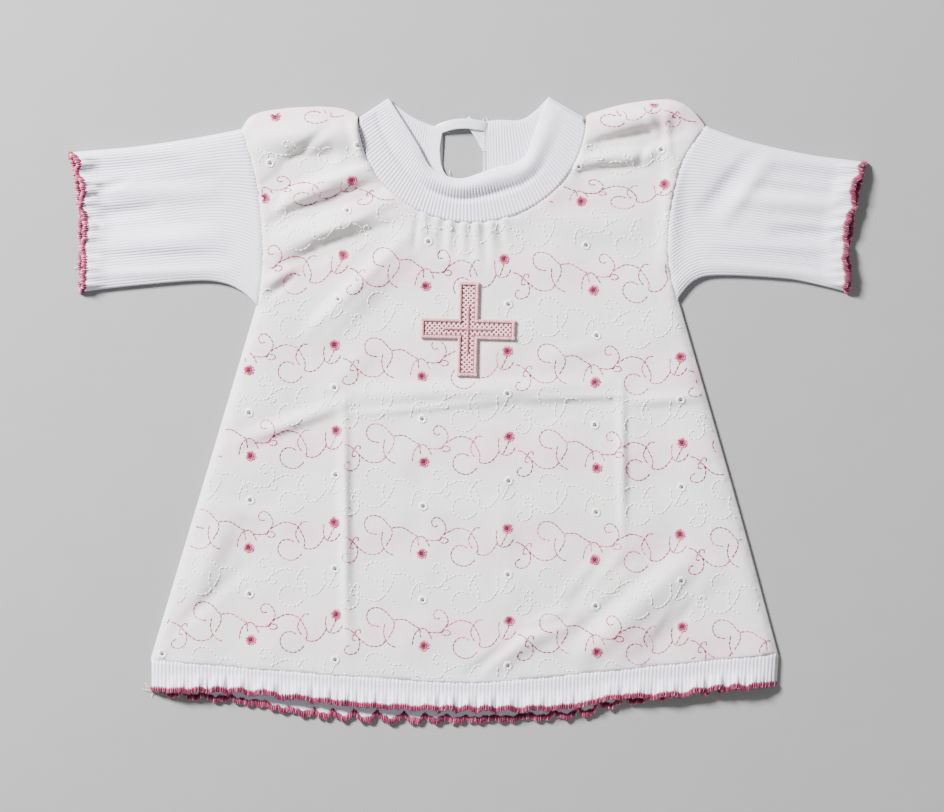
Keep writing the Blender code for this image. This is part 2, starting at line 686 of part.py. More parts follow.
def bead(name, edge, outward):
    """A closed bead of overlock thread round a looping edge, beyond it by the seam gap."""
    middle = edge + outward * (BEAD_GAP + BEAD_WIDE / 2)
    run = np.roll(middle, -1, axis=0) - np.roll(middle, 1, axis=0)
    side = np.cross(outward, run)
    side /= np.linalg.norm(side, axis=1, keepdims=True)
    corners = ((-0.5, 0.0), (0.0, 0.5), (0.5, 0.0), (0.0, -0.5))
    rings = [middle + outward * BEAD_WIDE * a + side * BEAD_THICK * b for a, b in corners]
    rings = np.stack(rings, axis=1)
    count, sides = rings.shape[:2]
    faces = []
    for r in range(count):
        for c in range(sides):
            s, d = (r + 1) % count, (c + 1) % sides
            faces.append((r * sides + c, r * sides + d, s * sides + d, s * sides + c))
    return add_solid(name, rings.reshape(-1, 3), faces, "rose_thread")


def sleeve(side):
    """One sleeve with its cuff's edging."""
    armhole, top, under, cuff, away = {
        "left": (ARMHOLE_LEFT, SLEEVE_TOP_LEFT, SLEEVE_UNDER_LEFT, CUFF_LEFT, -1),
        "right": (ARMHOLE_RIGHT, SLEEVE_TOP_RIGHT, SLEEVE_UNDER_RIGHT, CUFF_RIGHT, 1),
    }[side]
    start = smooth_line(armhole) + np.array([away * SEAM_GAP, 0])
    edge = smooth_line(cuff)
    tube_of = FlatTube(
        start, edge, edge, smooth_line(under), smooth_line(top), SLEEVE_ROWS, CUFF_RUFFLE, SLEEVE_RIB_PITCH, 1
    )
    tube_of.build(f"sleeve_{side}")
    tube_of.edging(f"cuff_edging_{side}")


def hem():
    """The hem band with its edging."""
    start = smooth_line(HEM_SEAM) - np.array([0, SEAM_GAP])
    edges = smooth_line(HEM_EDGE_FRONT), smooth_line(HEM_EDGE_BACK)
    sides = start[[0, 0]], start[[-1, -1]]
    tube_of = FlatTube(start, *edges, *sides, HEM_ROWS, HEM_RUFFLE, RIB_PITCH, 0)
    tube_of.build("hem_band")
    tube_of.edging("hem_edging")


def inward_normal(low, peak, sign):
    """Unit normal of a fold line, in plan, towards the neck opening."""
    run = np.array(peak, float) - np.array(low, float)
    normal = np.array([run[1], -run[0]]) * sign
    return normal / np.linalg.norm(normal)


def neck_columns():
    """Low and high plan points of the neck band's columns, with what each column is.

    They run from the slit's left side round the left fold, the front and the right fold to the
    slit's right side. The last value is the turn of the fold: 0 on the front and 180 on the back.
    """
    left_in = inward_normal(FOLD_LOW_LEFT, FOLD_PEAK_LEFT, 1)
    right_in = inward_normal(FOLD_LOW_RIGHT, FOLD_PEAK_RIGHT, -1)
    left = np.array([FOLD_LOW_LEFT, FOLD_PEAK_LEFT]) + FOLD_HEIGHT * left_in
    right = np.array([FOLD_LOW_RIGHT, FOLD_PEAK_RIGHT]) + FOLD_HEIGHT * right_in
    front_low = neckline(FRONT_DROP, np.linspace(0.03, 0.97, 80), SEAM_GAP)
    front_low = np.vstack([left[:1], front_low, right[:1]])
    front_high = smooth_line((tuple(left[1]),) + NECK_TOP_FRONT[1:-1] + (tuple(right[1]),))
    back = neckline(BACK_DROP, np.linspace(0.04, 0.96, 80), SEAM_GAP)
    back_left = np.vstack([left[:1], back[back[:, 0] < SLIT_LEFT]])
    back_right = np.vstack([back[back[:, 0] > SLIT_RIGHT], right[:1]])
    high_left = smooth_line(NECK_TOP_BACK_LEFT[:-1] + (tuple(left[1]),))
    high_right = smooth_line((tuple(right[1]),) + NECK_TOP_BACK_RIGHT[1:])
    columns = []

    def run(low, high, ribs, turn, low_shares=None):
        """Adds one run of ribs. low_shares maps the shares of the upper edge to those of the seam."""
        shares = np.linspace(0, 1, 2 * ribs + 1)
        seam = along(low, low_shares(shares) if low_shares else shares)
        for k, (a, b) in enumerate(zip(seam, along(high, shares))):
            columns.append((a, b, np.zeros(2), turn, k % 2, shares[k]))

    run(back_left[::-1], high_left, BACK_RIBS, 180, lambda s: BACK_LEAN * s + (1 - BACK_LEAN) * s * s)
    for angle in FOLD_ANGLES[::-1]:
        columns.append((left[0], left[1], -left_in, angle, 0, 0.0))
    run(front_low, front_high, FRONT_RIBS, 0)
    for angle in FOLD_ANGLES:
        columns.append((right[0], right[1], -right_in, angle, 0, 0.0))
    run(back_right[::-1], high_right, BACK_RIBS, 180, lambda s: s * (2 - BACK_LEAN) - (1 - BACK_LEAN) * s * s)
    return columns


def neckband():
    """The doubled rib neck band, one wall from the slit's left side round to its right side."""
    rings = []
    for low, high, outward, turn, crest, share in neck_columns():
        sway, up = math.sin(math.radians(turn)), math.cos(math.radians(turn))
        faces_of_wall = ((OUTER_SHARES, FOLD_HEIGHT, True), (INNER_SHARES, FOLD_INNER, False))
        for shares, radius, outer in faces_of_wall:
            for v in shares:
                x, y = low + (high - low) * v + outward * radius * sway
                z = FOLD_HEIGHT + radius * up
                if turn == 0:
                    away = min(abs(v - ROLL_MIDDLE) / ROLL_HALF_WIDTH, 1)
                    z += ROLL_RISE * math.sin(math.pi * share) * math.cos(0.5 * math.pi * away) ** 2
                    z += RIB_RELIEF * crest * outer
                elif turn == 180:
                    z += RIB_RELIEF * crest * (not outer)
                rings.append((x, y, z))
    sides = len(OUTER_SHARES) + len(INNER_SHARES)
    count = len(rings) // sides
    faces = [tuple(range(sides))[::-1], tuple(range((count - 1) * sides, count * sides))]
    for r in range(count - 1):
        for c in range(sides):
            d = (c + 1) % sides
            faces.append((r * sides + c, r * sides + d, (r + 1) * sides + d, (r + 1) * sides + c))
    return add_solid("neckband", np.array(rings), faces, "rib")


def cross_rise(u, v):
    """How far the cross's face stands up at a place along its two bars."""
    near, far = min(abs(u), abs(v)), max(abs(u), abs(v))
    if near < 0.01 and far < CROSS_SPINE_REACH:
        return CROSS_SPINE.rise
    if far < CROSS_HALF_BAR + 0.01:
        return 0.0
    rims = [line for line in CROSS_BAR_RIM if abs(line.away - near) < 0.01]
    if near < CROSS_HALF_BAR:
        rims += [line for line in CROSS_END_RIM if abs(line.away - far) < 0.01]
    return max((line.rise for line in rims), default=0.0)


def cross_applique(panel):
    """The embroidered cross, laid on the panel's own facets."""
    tree = BVHTree.FromObject(panel, bpy.context.evaluated_depsgraph_get())
    half = (CROSS_SPINE,) + CROSS_FIELD + CROSS_BAR_RIM + CROSS_ARM + CROSS_END_RIM
    lines = [Line(-line.away, line.rise) for line in half[:0:-1]] + list(half)
    turn = math.radians(CROSS_TURN)
    number = {}
    top, bottom = [], []

    def vertex(i, j):
        """The number of the point where two lines cross, made once."""
        if (i, j) in number:
            return number[i, j]
        u, v = lines[i].away, lines[j].away
        x = CROSS_X + u * math.cos(turn) - v * math.sin(turn)
        y = CROSS_Y + u * math.sin(turn) + v * math.cos(turn)
        hit = tree.ray_cast((x * MM, y * MM, 1.0), (0, 0, -1))[0]
        base = hit.z / MM + CROSS_LIFT
        number[i, j] = len(top)
        top.append((x, y, base + CROSS_THICK + cross_rise(u, v)))
        bottom.append((x, y, base))
        return number[i, j]

    cells = []
    for i in range(len(lines) - 1):
        for j in range(len(lines) - 1):
            u = (lines[i].away + lines[i + 1].away) / 2
            v = (lines[j].away + lines[j + 1].away) / 2
            if min(abs(u), abs(v)) < CROSS_HALF_BAR:
                cells.append((vertex(i, j), vertex(i + 1, j), vertex(i + 1, j + 1), vertex(i, j + 1)))
    size = len(top)
    faces = list(cells) + [tuple(k + size for k in cell[::-1]) for cell in cells]
    edges = {(a, b) for cell in cells for a, b in zip(cell, cell[1:] + cell[:1])}
    faces += [(b, a, a + size, b + size) for a, b in sorted(edges) if (b, a) not in edges]
    return add_solid("cross_applique", np.array(top + bottom), faces, "pale_rose")


def ribbon(name, sections):
    """A flat ribbon along its sections."""
    middle = smooth_line(sections, 3)
    run = np.gradient(middle, axis=0)[:, :2]
    run /= np.linalg.norm(run, axis=1, keepdims=True)
    side = np.column_stack([-run[:, 1], run[:, 0], np.zeros(len(run))]) * TIE_WIDE / 2
    up = np.array([0, 0, RIBBON / 2])
    corners = [middle - side + up, middle + side + up, middle + side - up, middle - side - up]
    rings = np.stack(corners, axis=1)
    count = len(rings)
    faces = [(0, 1, 2, 3), tuple(range(4 * count - 1, 4 * count - 5, -1))]
    for r in range(count - 1):
        for c in range(4):
            d = (c + 1) % 4
            faces.append((4 * r + c, 4 * r + 4 + c, 4 * r + 4 + d, 4 * r + d))
    return add_solid(name, rings.reshape(-1, 3), faces, "satin")


def build():
    """Clears the scene and makes every sub-part."""
    for old in list(bpy.data.objects):
        bpy.data.objects.remove(old)
    panel = front_panel()
    back_panel()
    sleeve("left")
    sleeve("right")
    hem()
    neckband()
    bpy.context.view_layer.update()
    cross_applique(panel)
    ribbon("back_tie_over", TIE_OVER)
    ribbon("back_tie_under", TIE_UNDER)


build()
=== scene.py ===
"""Looks of a baby's christening gown, laid out flat on its back.

Sizes are in millimetres in the CAD frame until a mesh is made in metres: X across the gown, Y from
the hem up to the neck, and Z up from the floor.
"""

import logging
import math
from dataclasses import dataclass
from enum import Enum
from typing import NamedTuple
import bmesh
import bpy
import numpy as np
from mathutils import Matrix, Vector
from mathutils.bvhtree import BVHTree
from mathutils.geometry import delaunay_2d_cdt


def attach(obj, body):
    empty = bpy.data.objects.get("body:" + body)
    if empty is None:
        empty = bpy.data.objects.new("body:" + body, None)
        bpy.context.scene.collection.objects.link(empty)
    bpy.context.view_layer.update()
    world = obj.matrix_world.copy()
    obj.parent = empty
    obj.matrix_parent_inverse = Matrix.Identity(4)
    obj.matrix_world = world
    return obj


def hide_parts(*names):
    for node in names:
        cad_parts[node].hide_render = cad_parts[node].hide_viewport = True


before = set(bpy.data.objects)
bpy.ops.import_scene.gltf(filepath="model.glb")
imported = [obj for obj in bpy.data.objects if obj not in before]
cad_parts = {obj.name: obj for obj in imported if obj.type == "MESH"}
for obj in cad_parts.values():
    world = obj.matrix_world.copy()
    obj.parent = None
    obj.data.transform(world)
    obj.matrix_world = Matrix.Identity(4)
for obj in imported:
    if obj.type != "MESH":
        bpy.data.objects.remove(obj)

MM = 0.001
LOG = logging.getLogger("christening_gown")
Array = np.ndarray

# Angles of the three points that round an edge over, and the knit's rib profile and course height
HALF_ROUND = np.radians((45, 90, 135))
RIB_ROUNDNESS = 0.8
COURSE = 1.1

# Height from which rays are cast down to find the cloth
RAY_START = 60.0


class Mark(NamedTuple):
    """A point in plan."""

    x: float
    y: float


class Fold(NamedTuple):
    """A soft ridge or trough along a line: its half width, and how far it rises or sinks."""

    start_x: float
    start_y: float
    end_x: float
    end_y: float
    half_width: float
    rise: float


class Gather(NamedTuple):
    """A pucker that runs down from the neck seam."""

    x: float
    length: float
    rise: float


class Ruffle(NamedTuple):
    """A wavy edge: pitch, rise of each layer, reach back from the edge, and sway in plan."""

    pitch: float
    rise: float
    back_rise: float
    fall: float
    sway: float
    back_sway: float


class Side(Enum):
    """The two sleeves, by the way they point along X."""

    LEFT = -1
    RIGHT = 1


class Layer(Enum):
    """The gown's two layers, as it lies."""

    FRONT = "front"
    BACK = "back"


class Thread(Enum):
    """The two embroidery threads."""

    PINK = "pink"
    WHITE = "white"


# Seams and free edges, as in the CAD source
SIDE_LEFT = (Mark(-202, -161), Mark(-171, -58), Mark(-134, 66))
SIDE_RIGHT = (Mark(198, -157), Mark(171, -58), Mark(134, 70))
ARMHOLE_LEFT = (Mark(-134, 66), Mark(-131, 90), Mark(-132, 122), Mark(-136, 150), Mark(-144, 178))
ARMHOLE_RIGHT = (
    Mark(134, 70), Mark(129, 92), Mark(129, 114), Mark(132, 138), Mark(140, 162), Mark(152, 180),
)
SHOULDER_LEFT = (
    Mark(-144, 178), Mark(-137, 187), Mark(-120, 191), Mark(-95, 192.5), Mark(-79, 191), Mark(-72, 187),
)
SHOULDER_RIGHT = (
    Mark(152, 180), Mark(144, 190), Mark(134, 196), Mark(122, 197), Mark(100, 194), Mark(78, 188),
)
SLEEVE_TOP_LEFT = (Mark(-144, 178), Mark(-176, 172), Mark(-215, 166.5), Mark(-253, 163.5))
SLEEVE_UNDER_LEFT = (
    Mark(-134, 66), Mark(-144, 75), Mark(-156, 80.5), Mark(-175, 82), Mark(-221, 78), Mark(-246, 75),
)
CUFF_LEFT = (Mark(-246, 75), Mark(-246, 100), Mark(-246.5, 125), Mark(-249, 147), Mark(-253, 163.5))
SLEEVE_TOP_RIGHT = (
    Mark(152, 180), Mark(174, 172), Mark(200, 165.5), Mark(226, 160.5), Mark(253, 157.5),
)
SLEEVE_UNDER_RIGHT = (
    Mark(134, 70), Mark(145, 82), Mark(161, 85.5), Mark(202, 83.5), Mark(222, 80), Mark(242, 75),
)
CUFF_RIGHT = (
    Mark(242, 75), Mark(243.5, 86), Mark(242, 98), Mark(245, 120), Mark(249, 140), Mark(253, 157.5),
)
HEM_SEAM = (
    Mark(-202, -161), Mark(-120, -168), Mark(-50, -173), Mark(7, -175.5), Mark(70, -170),
    Mark(130, -164), Mark(198, -157),
)
HEM_EDGE_FRONT = (
    Mark(-202, -178), Mark(-152, -178), Mark(-104, -183), Mark(-57, -187.5), Mark(10, -190),
    Mark(65, -188), Mark(94, -182), Mark(130, -181), Mark(159, -177), Mark(197, -174.5),
)
HEM_EDGE_BACK = (
    Mark(-202, -178.5), Mark(-144, -185.5), Mark(-104, -193), Mark(-33, -196.5), Mark(13, -197.3),
    Mark(70, -193), Mark(94, -186), Mark(150, -179), Mark(197, -175),
)
NECK_TOP_FRONT = (
    Mark(-50, 196), Mark(-40, 181), Mark(-32, 168), Mark(-24, 154), Mark(-13, 148), Mark(-3, 146.5),
    Mark(10, 150.5), Mark(20, 154), Mark(30, 156), Mark(38, 162), Mark(43, 175), Mark(52, 197),
)
NECK_TOP_BACK_LEFT = (Mark(-15.5, 182), Mark(-20, 180), Mark(-27, 182), Mark(-37, 187), Mark(-50, 196))
NECK_TOP_BACK_RIGHT = (Mark(52, 197), Mark(43, 189), Mark(34, 184), Mark(20, 184), Mark(11.5, 183))

# The upper layer's main folds, as in the CAD source
FOLDS = (
    Fold(-138, 172, -66, 176, 15, 6.0),
    Fold(-134, 138, -82, 166, 9, -3.0),
    Fold(-126, 132, -58, 152, 9, 4.5),
    Fold(-116, 121, -50, 143, 7, -2.2),
    Fold(-130, 102, -40, 134, 14, 3.6),
    Fold(-112, 90, -40, 128, 9, -1.6),
    Fold(-104, 38, -26, 120, 16, 3.0),
    Fold(-132, 78, -106, 92, 8, 2.4),
    Fold(78, 178, 140, 192, 12, 4.6),
    Fold(74, 163, 128, 178, 8, -2.6),
    Fold(66, 156, 122, 164, 8, 3.8),
    Fold(70, 150, 118, 154, 6, -1.6),
    Fold(128, 86, 132, 168, 10, 2.4),
    Fold(44, 122, 112, 112, 14, 1.6),
    Fold(-150, -22, -72, 6, 8, 2.6),
    Fold(-86, 8, 108, 15, 10, 2.6),
    Fold(0, -4, 104, 2, 10, -1.2),
    Fold(98, 4, 152, 8, 6, 2.0),
    Fold(-80, 12, -76, -160, 6, 2.2),
    Fold(98, 20, 100, -86, 5, 1.5),
    Fold(66, -164, 148, -92, 14, 4.8),
    Fold(6, -166, 70, -128, 12, 3.0),
    Fold(118, -160, 150, -104, 9, -1.4),
    Fold(60, -126, 104, -84, 12, 1.8),
    Fold(-178, -126, -150, -64, 12, 1.8),
    Fold(-242, 150, -160, 160, 12, 1.6),
    Fold(-240, 98, -150, 108, 14, 1.6),
    Fold(154, 160, 232, 142, 12, 1.6),
    Fold(144, 104, 236, 100, 14, 1.6),
)

# Finer creases of the thin cloth, over the main folds
CREASES = (
    Fold(-74, 190, -67, 158, 5, 2.6),
    Fold(-130, 137, -101, 169, 6, -1.8),
    Fold(-122, 152, -84, 184, 5, -1.6),
    Fold(-106, 164, -126, 124, 4.5, -1.6),
    Fold(-120, 136, -60, 156, 4.5, 1.5),
    Fold(-128, 126, -84, 142, 5, 1.8),
    Fold(-130, 117, -58, 145, 4.5, -2.0),
    Fold(-127, 98, -50, 126, 6.5, 1.5),
    Fold(-124, 89, -44, 119, 5, -1.2),
    Fold(-126, 108, -43, 124, 8, 1.2),
    Fold(-101, 105, -40, 131, 5, -1.1),
    Fold(-107, 44, -34, 116, 7, 1.3),
    Fold(-130, 70, -107, 89, 5, -1.4),
    Fold(77, 169, 117, 179, 4, -2.3),
    Fold(73, 160, 111, 165, 4, 1.2),
    Fold(69, 151.5, 108, 156, 4, -2.0),
    Fold(82, 156, 142, 179, 5, -1.2),
    Fold(119, 183, 108, 153, 4.5, -1.5),
    Fold(127, 192, 129, 158, 4, 1.3),
    Fold(112, 196, 122, 172, 5, 1.0),
    Fold(-82, -4, 34, 6, 4, 1.1),
    Fold(34, 6, 111, 9, 4, 1.3),
    Fold(-139, -20, -78, 3, 5, 0.4),
    Fold(-78, 12, -78, -148, 3.5, 1.0),
    Fold(99, 19, 99, -84, 3.5, 0.9),
    Fold(86, -162, 164, -98, 13, 1.9),
    Fold(52, -150, 112, -96, 8, 0.8),
    Fold(-2, -173, 37, -141, 6, -1.6),
    Fold(30, -144, 69, -133, 6, -1.3),
    Fold(62, -129, 98, -84, 7, -1.2),
    Fold(-139, -97, -194, -148, 7, -0.9),
    Fold(-30, 100, 10, 88, 9, 0.7),
    Fold(20, -40, 30, -130, 12, 0.6),
    Fold(-30, -20, -36, -120, 12, -0.5),
    Fold(-176, -60, -120, -70, 9, 0.7),
    Fold(130, -30, 166, -60, 8, 0.8),
    Fold(-31, 126, -34, 100, 3, -1.3),
    Fold(-15, 121, -17, 96, 3, -1.5),
    Fold(-6, 120, -7, 100, 3, -1.3),
    Fold(2, 120, 2, 97, 3, -1.2),
    Fold(11, 120, 12, 92, 3, -1.6),
    Fold(20, 121, 23, 100, 3, -1.2),
    Fold(-60, 40, -96, 4, 10, 0.7),
    Fold(40, 30, 96, 44, 9, 0.6),
    Fold(-20, -60, 60, -70, 14, 0.5),
)

# Soft creases of the sleeves' knit
SLEEVE_CREASES = (
    Fold(-258, 152, -172, 159, 9, -3.6),
    Fold(-254, 86, -146, 89, 6, 2.4),
    Fold(-252, 97, -148, 99, 6, -1.6),
    Fold(-244, 141, -158, 139, 11, 2.3),
    Fold(-250, 123, -196, 128, 7, -2.3),
    Fold(-238, 109, -156, 112, 11, 1.8),
    Fold(-252, 134, -214, 148, 5, -1.6),
    Fold(-251, 147, -230, 133, 4, -1.8),
    Fold(-249, 139, -232, 139, 4, 1.1),
    Fold(-249, 127, -234, 116, 4, -1.6),
    Fold(-249, 101, -236, 96, 4, -1.2),
    Fold(184, 155, 256, 145, 8, -3.0),
    Fold(170, 135, 254, 129, 9, 2.4),
    Fold(192, 113, 252, 109, 8, -3.0),
    Fold(148, 93, 248, 83, 6, 2.4),
    Fold(154, 102, 246, 95, 6, -1.4),
    Fold(148, 122, 186, 168, 8, -2.4),
    Fold(160, 116, 197, 165, 8, 2.0),
    Fold(252, 133, 236, 131, 3.5, -1.2),
    Fold(248, 107, 233, 106, 3.5, -1.4),
)

GATHERS = (
    Gather(-27, 20, 1.6),
    Gather(-19, 15, 1.2),
    Gather(-11, 23, 1.9),
    Gather(-2, 26, 1.6),
    Gather(6, 24, 2.0),
    Gather(15, 30, 1.7),
    Gather(24, 16, 1.2),
)

NECK_X, NECK_Y, NECK_HALF = 3.0, 187.0, 73.0
FRONT_DROP, BACK_DROP = 67.5, 41.0
SLIT_LEFT, SLIT_RIGHT = -15.5, 11.5
SLIT_END = Mark(-1.0, 62.0)
SEAM_GAP = 0.55

CROSS_MIDDLE = Mark(0.5, 51.0)
CROSS_TURN = math.radians(-1.4)


def smooth_line(marks: object, steps: int = 16) -> Array:
    """A dense line through the marks, smooth at each.

    Args:
        marks: The points, in plan or in space.
        steps: Points drawn from one mark to the next.

    Returns:
        The line's points.
    """
    p = np.array(marks, float)
    p = np.vstack([2 * p[0] - p[1], p, 2 * p[-1] - p[-2]])
    u = (np.arange(steps) / steps)[:, None]
    runs = [
        0.5 * (2 * b + (c - a) * u + (2 * a - 5 * b + 4 * c - d) * u**2 + (3 * b - a - 3 * c + d) * u**3)
        for a, b, c, d in zip(p[:-3], p[1:-2], p[2:-1], p[3:])
    ]
    return np.vstack(runs + [p[-2:-1]])


def length_of(line: Array) -> float:
    """The length of a line."""
    return float(np.linalg.norm(np.diff(line, axis=0), axis=1).sum())


def along(line: Array, shares: object) -> Array:
    """The points of a line at these shares of its length."""
    gone = np.concatenate([[0], np.cumsum(np.linalg.norm(np.diff(line, axis=0), axis=1))])
    at = np.asarray(shares) * gone[-1]
    return np.stack([np.interp(at, gone, line[:, k]) for k in range(line.shape[1])], axis=1)


def neckline(drop: float, shares: object, inset: float = 0.0) -> Array:
    """Points of a neckline ellipse from its left end to its right end."""
    angle = math.pi * np.asarray(shares)
    x = NECK_X - (NECK_HALF - inset) * np.cos(angle)
    return np.stack([x, NECK_Y - (drop - inset) * np.sin(angle)], axis=1)


def neck_share(x: float) -> float:
    """Where along a neckline ellipse a given X lies, from 0 to 1."""
    return math.acos((NECK_X - x) / NECK_HALF) / math.pi


def smoothstep(low: float, high: float, value: object) -> Array:
    """0 below low, 1 above high, and smooth between them."""
    share = np.clip((np.asarray(value) - low) / (high - low), 0, 1)
    return share * share * (3 - 2 * share)


def hump(away: object, half_width: float) -> Array:
    """A soft bump: 1 where away is 0, and 0 from half_width on."""
    return np.cos(0.5 * math.pi * np.clip(np.asarray(away) / half_width, 0, 1)) ** 2


def rib_crests(count: int, rib_points: int) -> Array:
    """How high each point of a row of ribs stands, from 0 in a valley to 1 on a crest."""
    return np.abs(np.sin(math.pi * np.arange(count) / rib_points)) ** RIB_ROUNDNESS


def distance_to_line(points: Array, line: Array) -> Array:
    """How far each point is from a line, in plan."""
    best = np.full(len(points), np.inf)
    for a, b in zip(line[:-1], line[1:]):
        run = b - a
        share = np.clip((points - a) @ run / max(run @ run, 1e-9), 0, 1)
        best = np.minimum(best, np.linalg.norm(points - a - share[:, None] * run, axis=1))
    return best


def inside(points: Array, outline: Array) -> Array:
    """Which points lie inside an outline, by counting crossings to the right."""
    within = np.zeros(len(points), bool)
    for a, b in zip(outline, np.roll(outline, -1, axis=0)):
        if a[1] != b[1]:
            spans = (a[1] > points[:, 1]) != (b[1] > points[:, 1])
            at = a[0] + (points[:, 1] - a[1]) * (b[0] - a[0]) / (b[1] - a[1])
            within ^= spans & (points[:, 0] < at)
    return within


def thinned(line: Array, step: float) -> Array:
    """A line redrawn with points about a step apart."""
    return along(line, np.linspace(0, 1, max(2, round(length_of(line) / step)) + 1))


@dataclass(frozen=True)
class Drape:
    """How high the upper layer's outer face lies over the floor."""

    rest: float = 2.3
    edge_loft: float = 2.5
    middle_loft: float = 0.9
    least_loft: float = 0.2
    roll_reach: float = 9.0
    sag_start: float = 12.0
    sag_end: float = 48.0
    neck_lift: float = 0.6
    neck_lift_reach: float = 14.0
    gather_half_width: float = 3.6
    gather_start: float = 4.0
    gather_spread: float = 0.004
    least_height: float = 2.5
    flat_reach: float = 8.0
    undulation: float = 0.22
    pucker: float = 0.32
    pucker_pitch: float = 8.5
    pucker_reach: float = 9.0
    crease_depth: float = 1.3

    def free_edges(self) -> list[Array]:
        """The edges at which the gown's two layers meet."""
        marks = (
            SIDE_LEFT, SIDE_RIGHT, SHOULDER_LEFT, SHOULDER_RIGHT, SLEEVE_TOP_LEFT, SLEEVE_UNDER_LEFT,
            SLEEVE_TOP_RIGHT, SLEEVE_UNDER_RIGHT, (SIDE_LEFT[0], HEM_EDGE_FRONT[0]),
            (SIDE_RIGHT[0], HEM_EDGE_FRONT[-1]),
        )
        return [smooth_line(edge, 10) for edge in marks]

    def folds(self, points: Array, folds: tuple[Fold, ...]) -> Array:
        """What a set of folds adds at each point."""
        height = np.zeros(len(points))
        for fold in folds:
            start = np.array([fold.start_x, fold.start_y])
            run = np.array([fold.end_x, fold.end_y]) - start
            length = np.linalg.norm(run)
            share = np.clip((points - start) @ run / length**2, 0, 1)
            away = np.abs((points - start) @ np.array([-run[1], run[0]])) / length
            height += fold.rise * hump(away, fold.half_width) * np.sin(math.pi * share) ** 0.7
        return height

    def gathers(self, points: Array) -> Array:
        """What the gathers below the neck seam add at each point."""
        height = np.zeros(len(points))
        for gather in GATHERS:
            top = neckline(FRONT_DROP, [neck_share(gather.x)])[0]
            below = top[1] - points[:, 1]
            away = np.abs(points[:, 0] - gather.x * (1 + self.gather_spread * below))
            fade = np.clip(1 - below / gather.length, 0, 1) * (below > -self.gather_start)
            height += gather.rise * fade * hump(away, self.gather_half_width)
        return height

    def smooth_height(self, points: Array) -> Array:
        """The height without the finer creases, as the CAD solids have it."""
        reach = np.min([distance_to_line(points, line) for line in self.free_edges()], axis=0)
        swell = np.sqrt(1 - (1 - np.clip(reach / self.roll_reach, 0, 1)) ** 2)
        sag = smoothstep(self.sag_start, self.sag_end, reach)
        loft = self.edge_loft + (self.middle_loft - self.edge_loft) * sag
        from_neck = distance_to_line(points, neckline(FRONT_DROP, np.linspace(0, 1, 60)))
        loft = loft + self.neck_lift * (1 - smoothstep(0, self.neck_lift_reach, from_neck))
        folds = self.folds(points, FOLDS) + self.gathers(points)
        return self.rest + swell * np.maximum(loft + folds, self.least_loft)

    def fine_height(self, points: Array) -> Array:
        """The height of the thin woven cloth, with its creases and puckers."""
        x, y = points.T
        seams = (HEM_SEAM, ARMHOLE_LEFT, ARMHOLE_RIGHT)
        reach = np.min([distance_to_line(points, smooth_line(seam, 8)) for seam in seams], axis=0)
        ends = np.min([distance_to_line(points, line) for line in self.free_edges()], axis=0)
        near = 1 - smoothstep(0, self.pucker_reach, reach)
        place = 2 * math.pi * (x + y + 4 * np.sin(x / 23)) / self.pucker_pitch
        pucker = self.pucker * near * np.sin(place)
        wave = np.sin(x / 7.1 + np.sin(y / 9.7)) + np.sin(y / 6.3 + 1.4 * np.sin(x / 12.9))
        crease = self.crease_depth * self.folds(points, CREASES)
        fade = smoothstep(0, self.flat_reach, ends)
        height = self.smooth_height(points)
        change = crease + self.undulation * wave + pucker
        return height + fade * np.maximum(change, self.least_height - height)


DRAPE = Drape()


class Wire:
    """A number inside a material. Sums on it add Math nodes."""

    def __init__(self, sheet: "NodeSheet", socket: bpy.types.NodeSocket) -> None:
        """Wraps an output socket of a sheet's nodes."""
        self.sheet = sheet
        self.socket = socket

    def math(self, operation: str, *values: object) -> "Wire":
        """The result of one Math node on these values."""
        made = self.sheet.node("ShaderNodeMath", {"operation": operation}, dict(enumerate(values)))
        return Wire(self.sheet, made.outputs[0])

    def __add__(self, other: object) -> "Wire":
        """Sum."""
        return self.math("ADD", self, other)

    __radd__ = __add__

    def __sub__(self, other: object) -> "Wire":
        """Difference."""
        return self.math("SUBTRACT", self, other)

    def __rsub__(self, other: object) -> "Wire":
        """Difference from a plain number."""
        return self.math("SUBTRACT", other, self)

    def __mul__(self, other: object) -> "Wire":
        """Product."""
        return self.math("MULTIPLY", self, other)

    __rmul__ = __mul__

    def __pow__(self, other: object) -> "Wire":
        """Power."""
        return self.math("POWER", self, other)

    def sine(self) -> "Wire":
        """Sine of an angle."""
        return self.math("SINE", self)


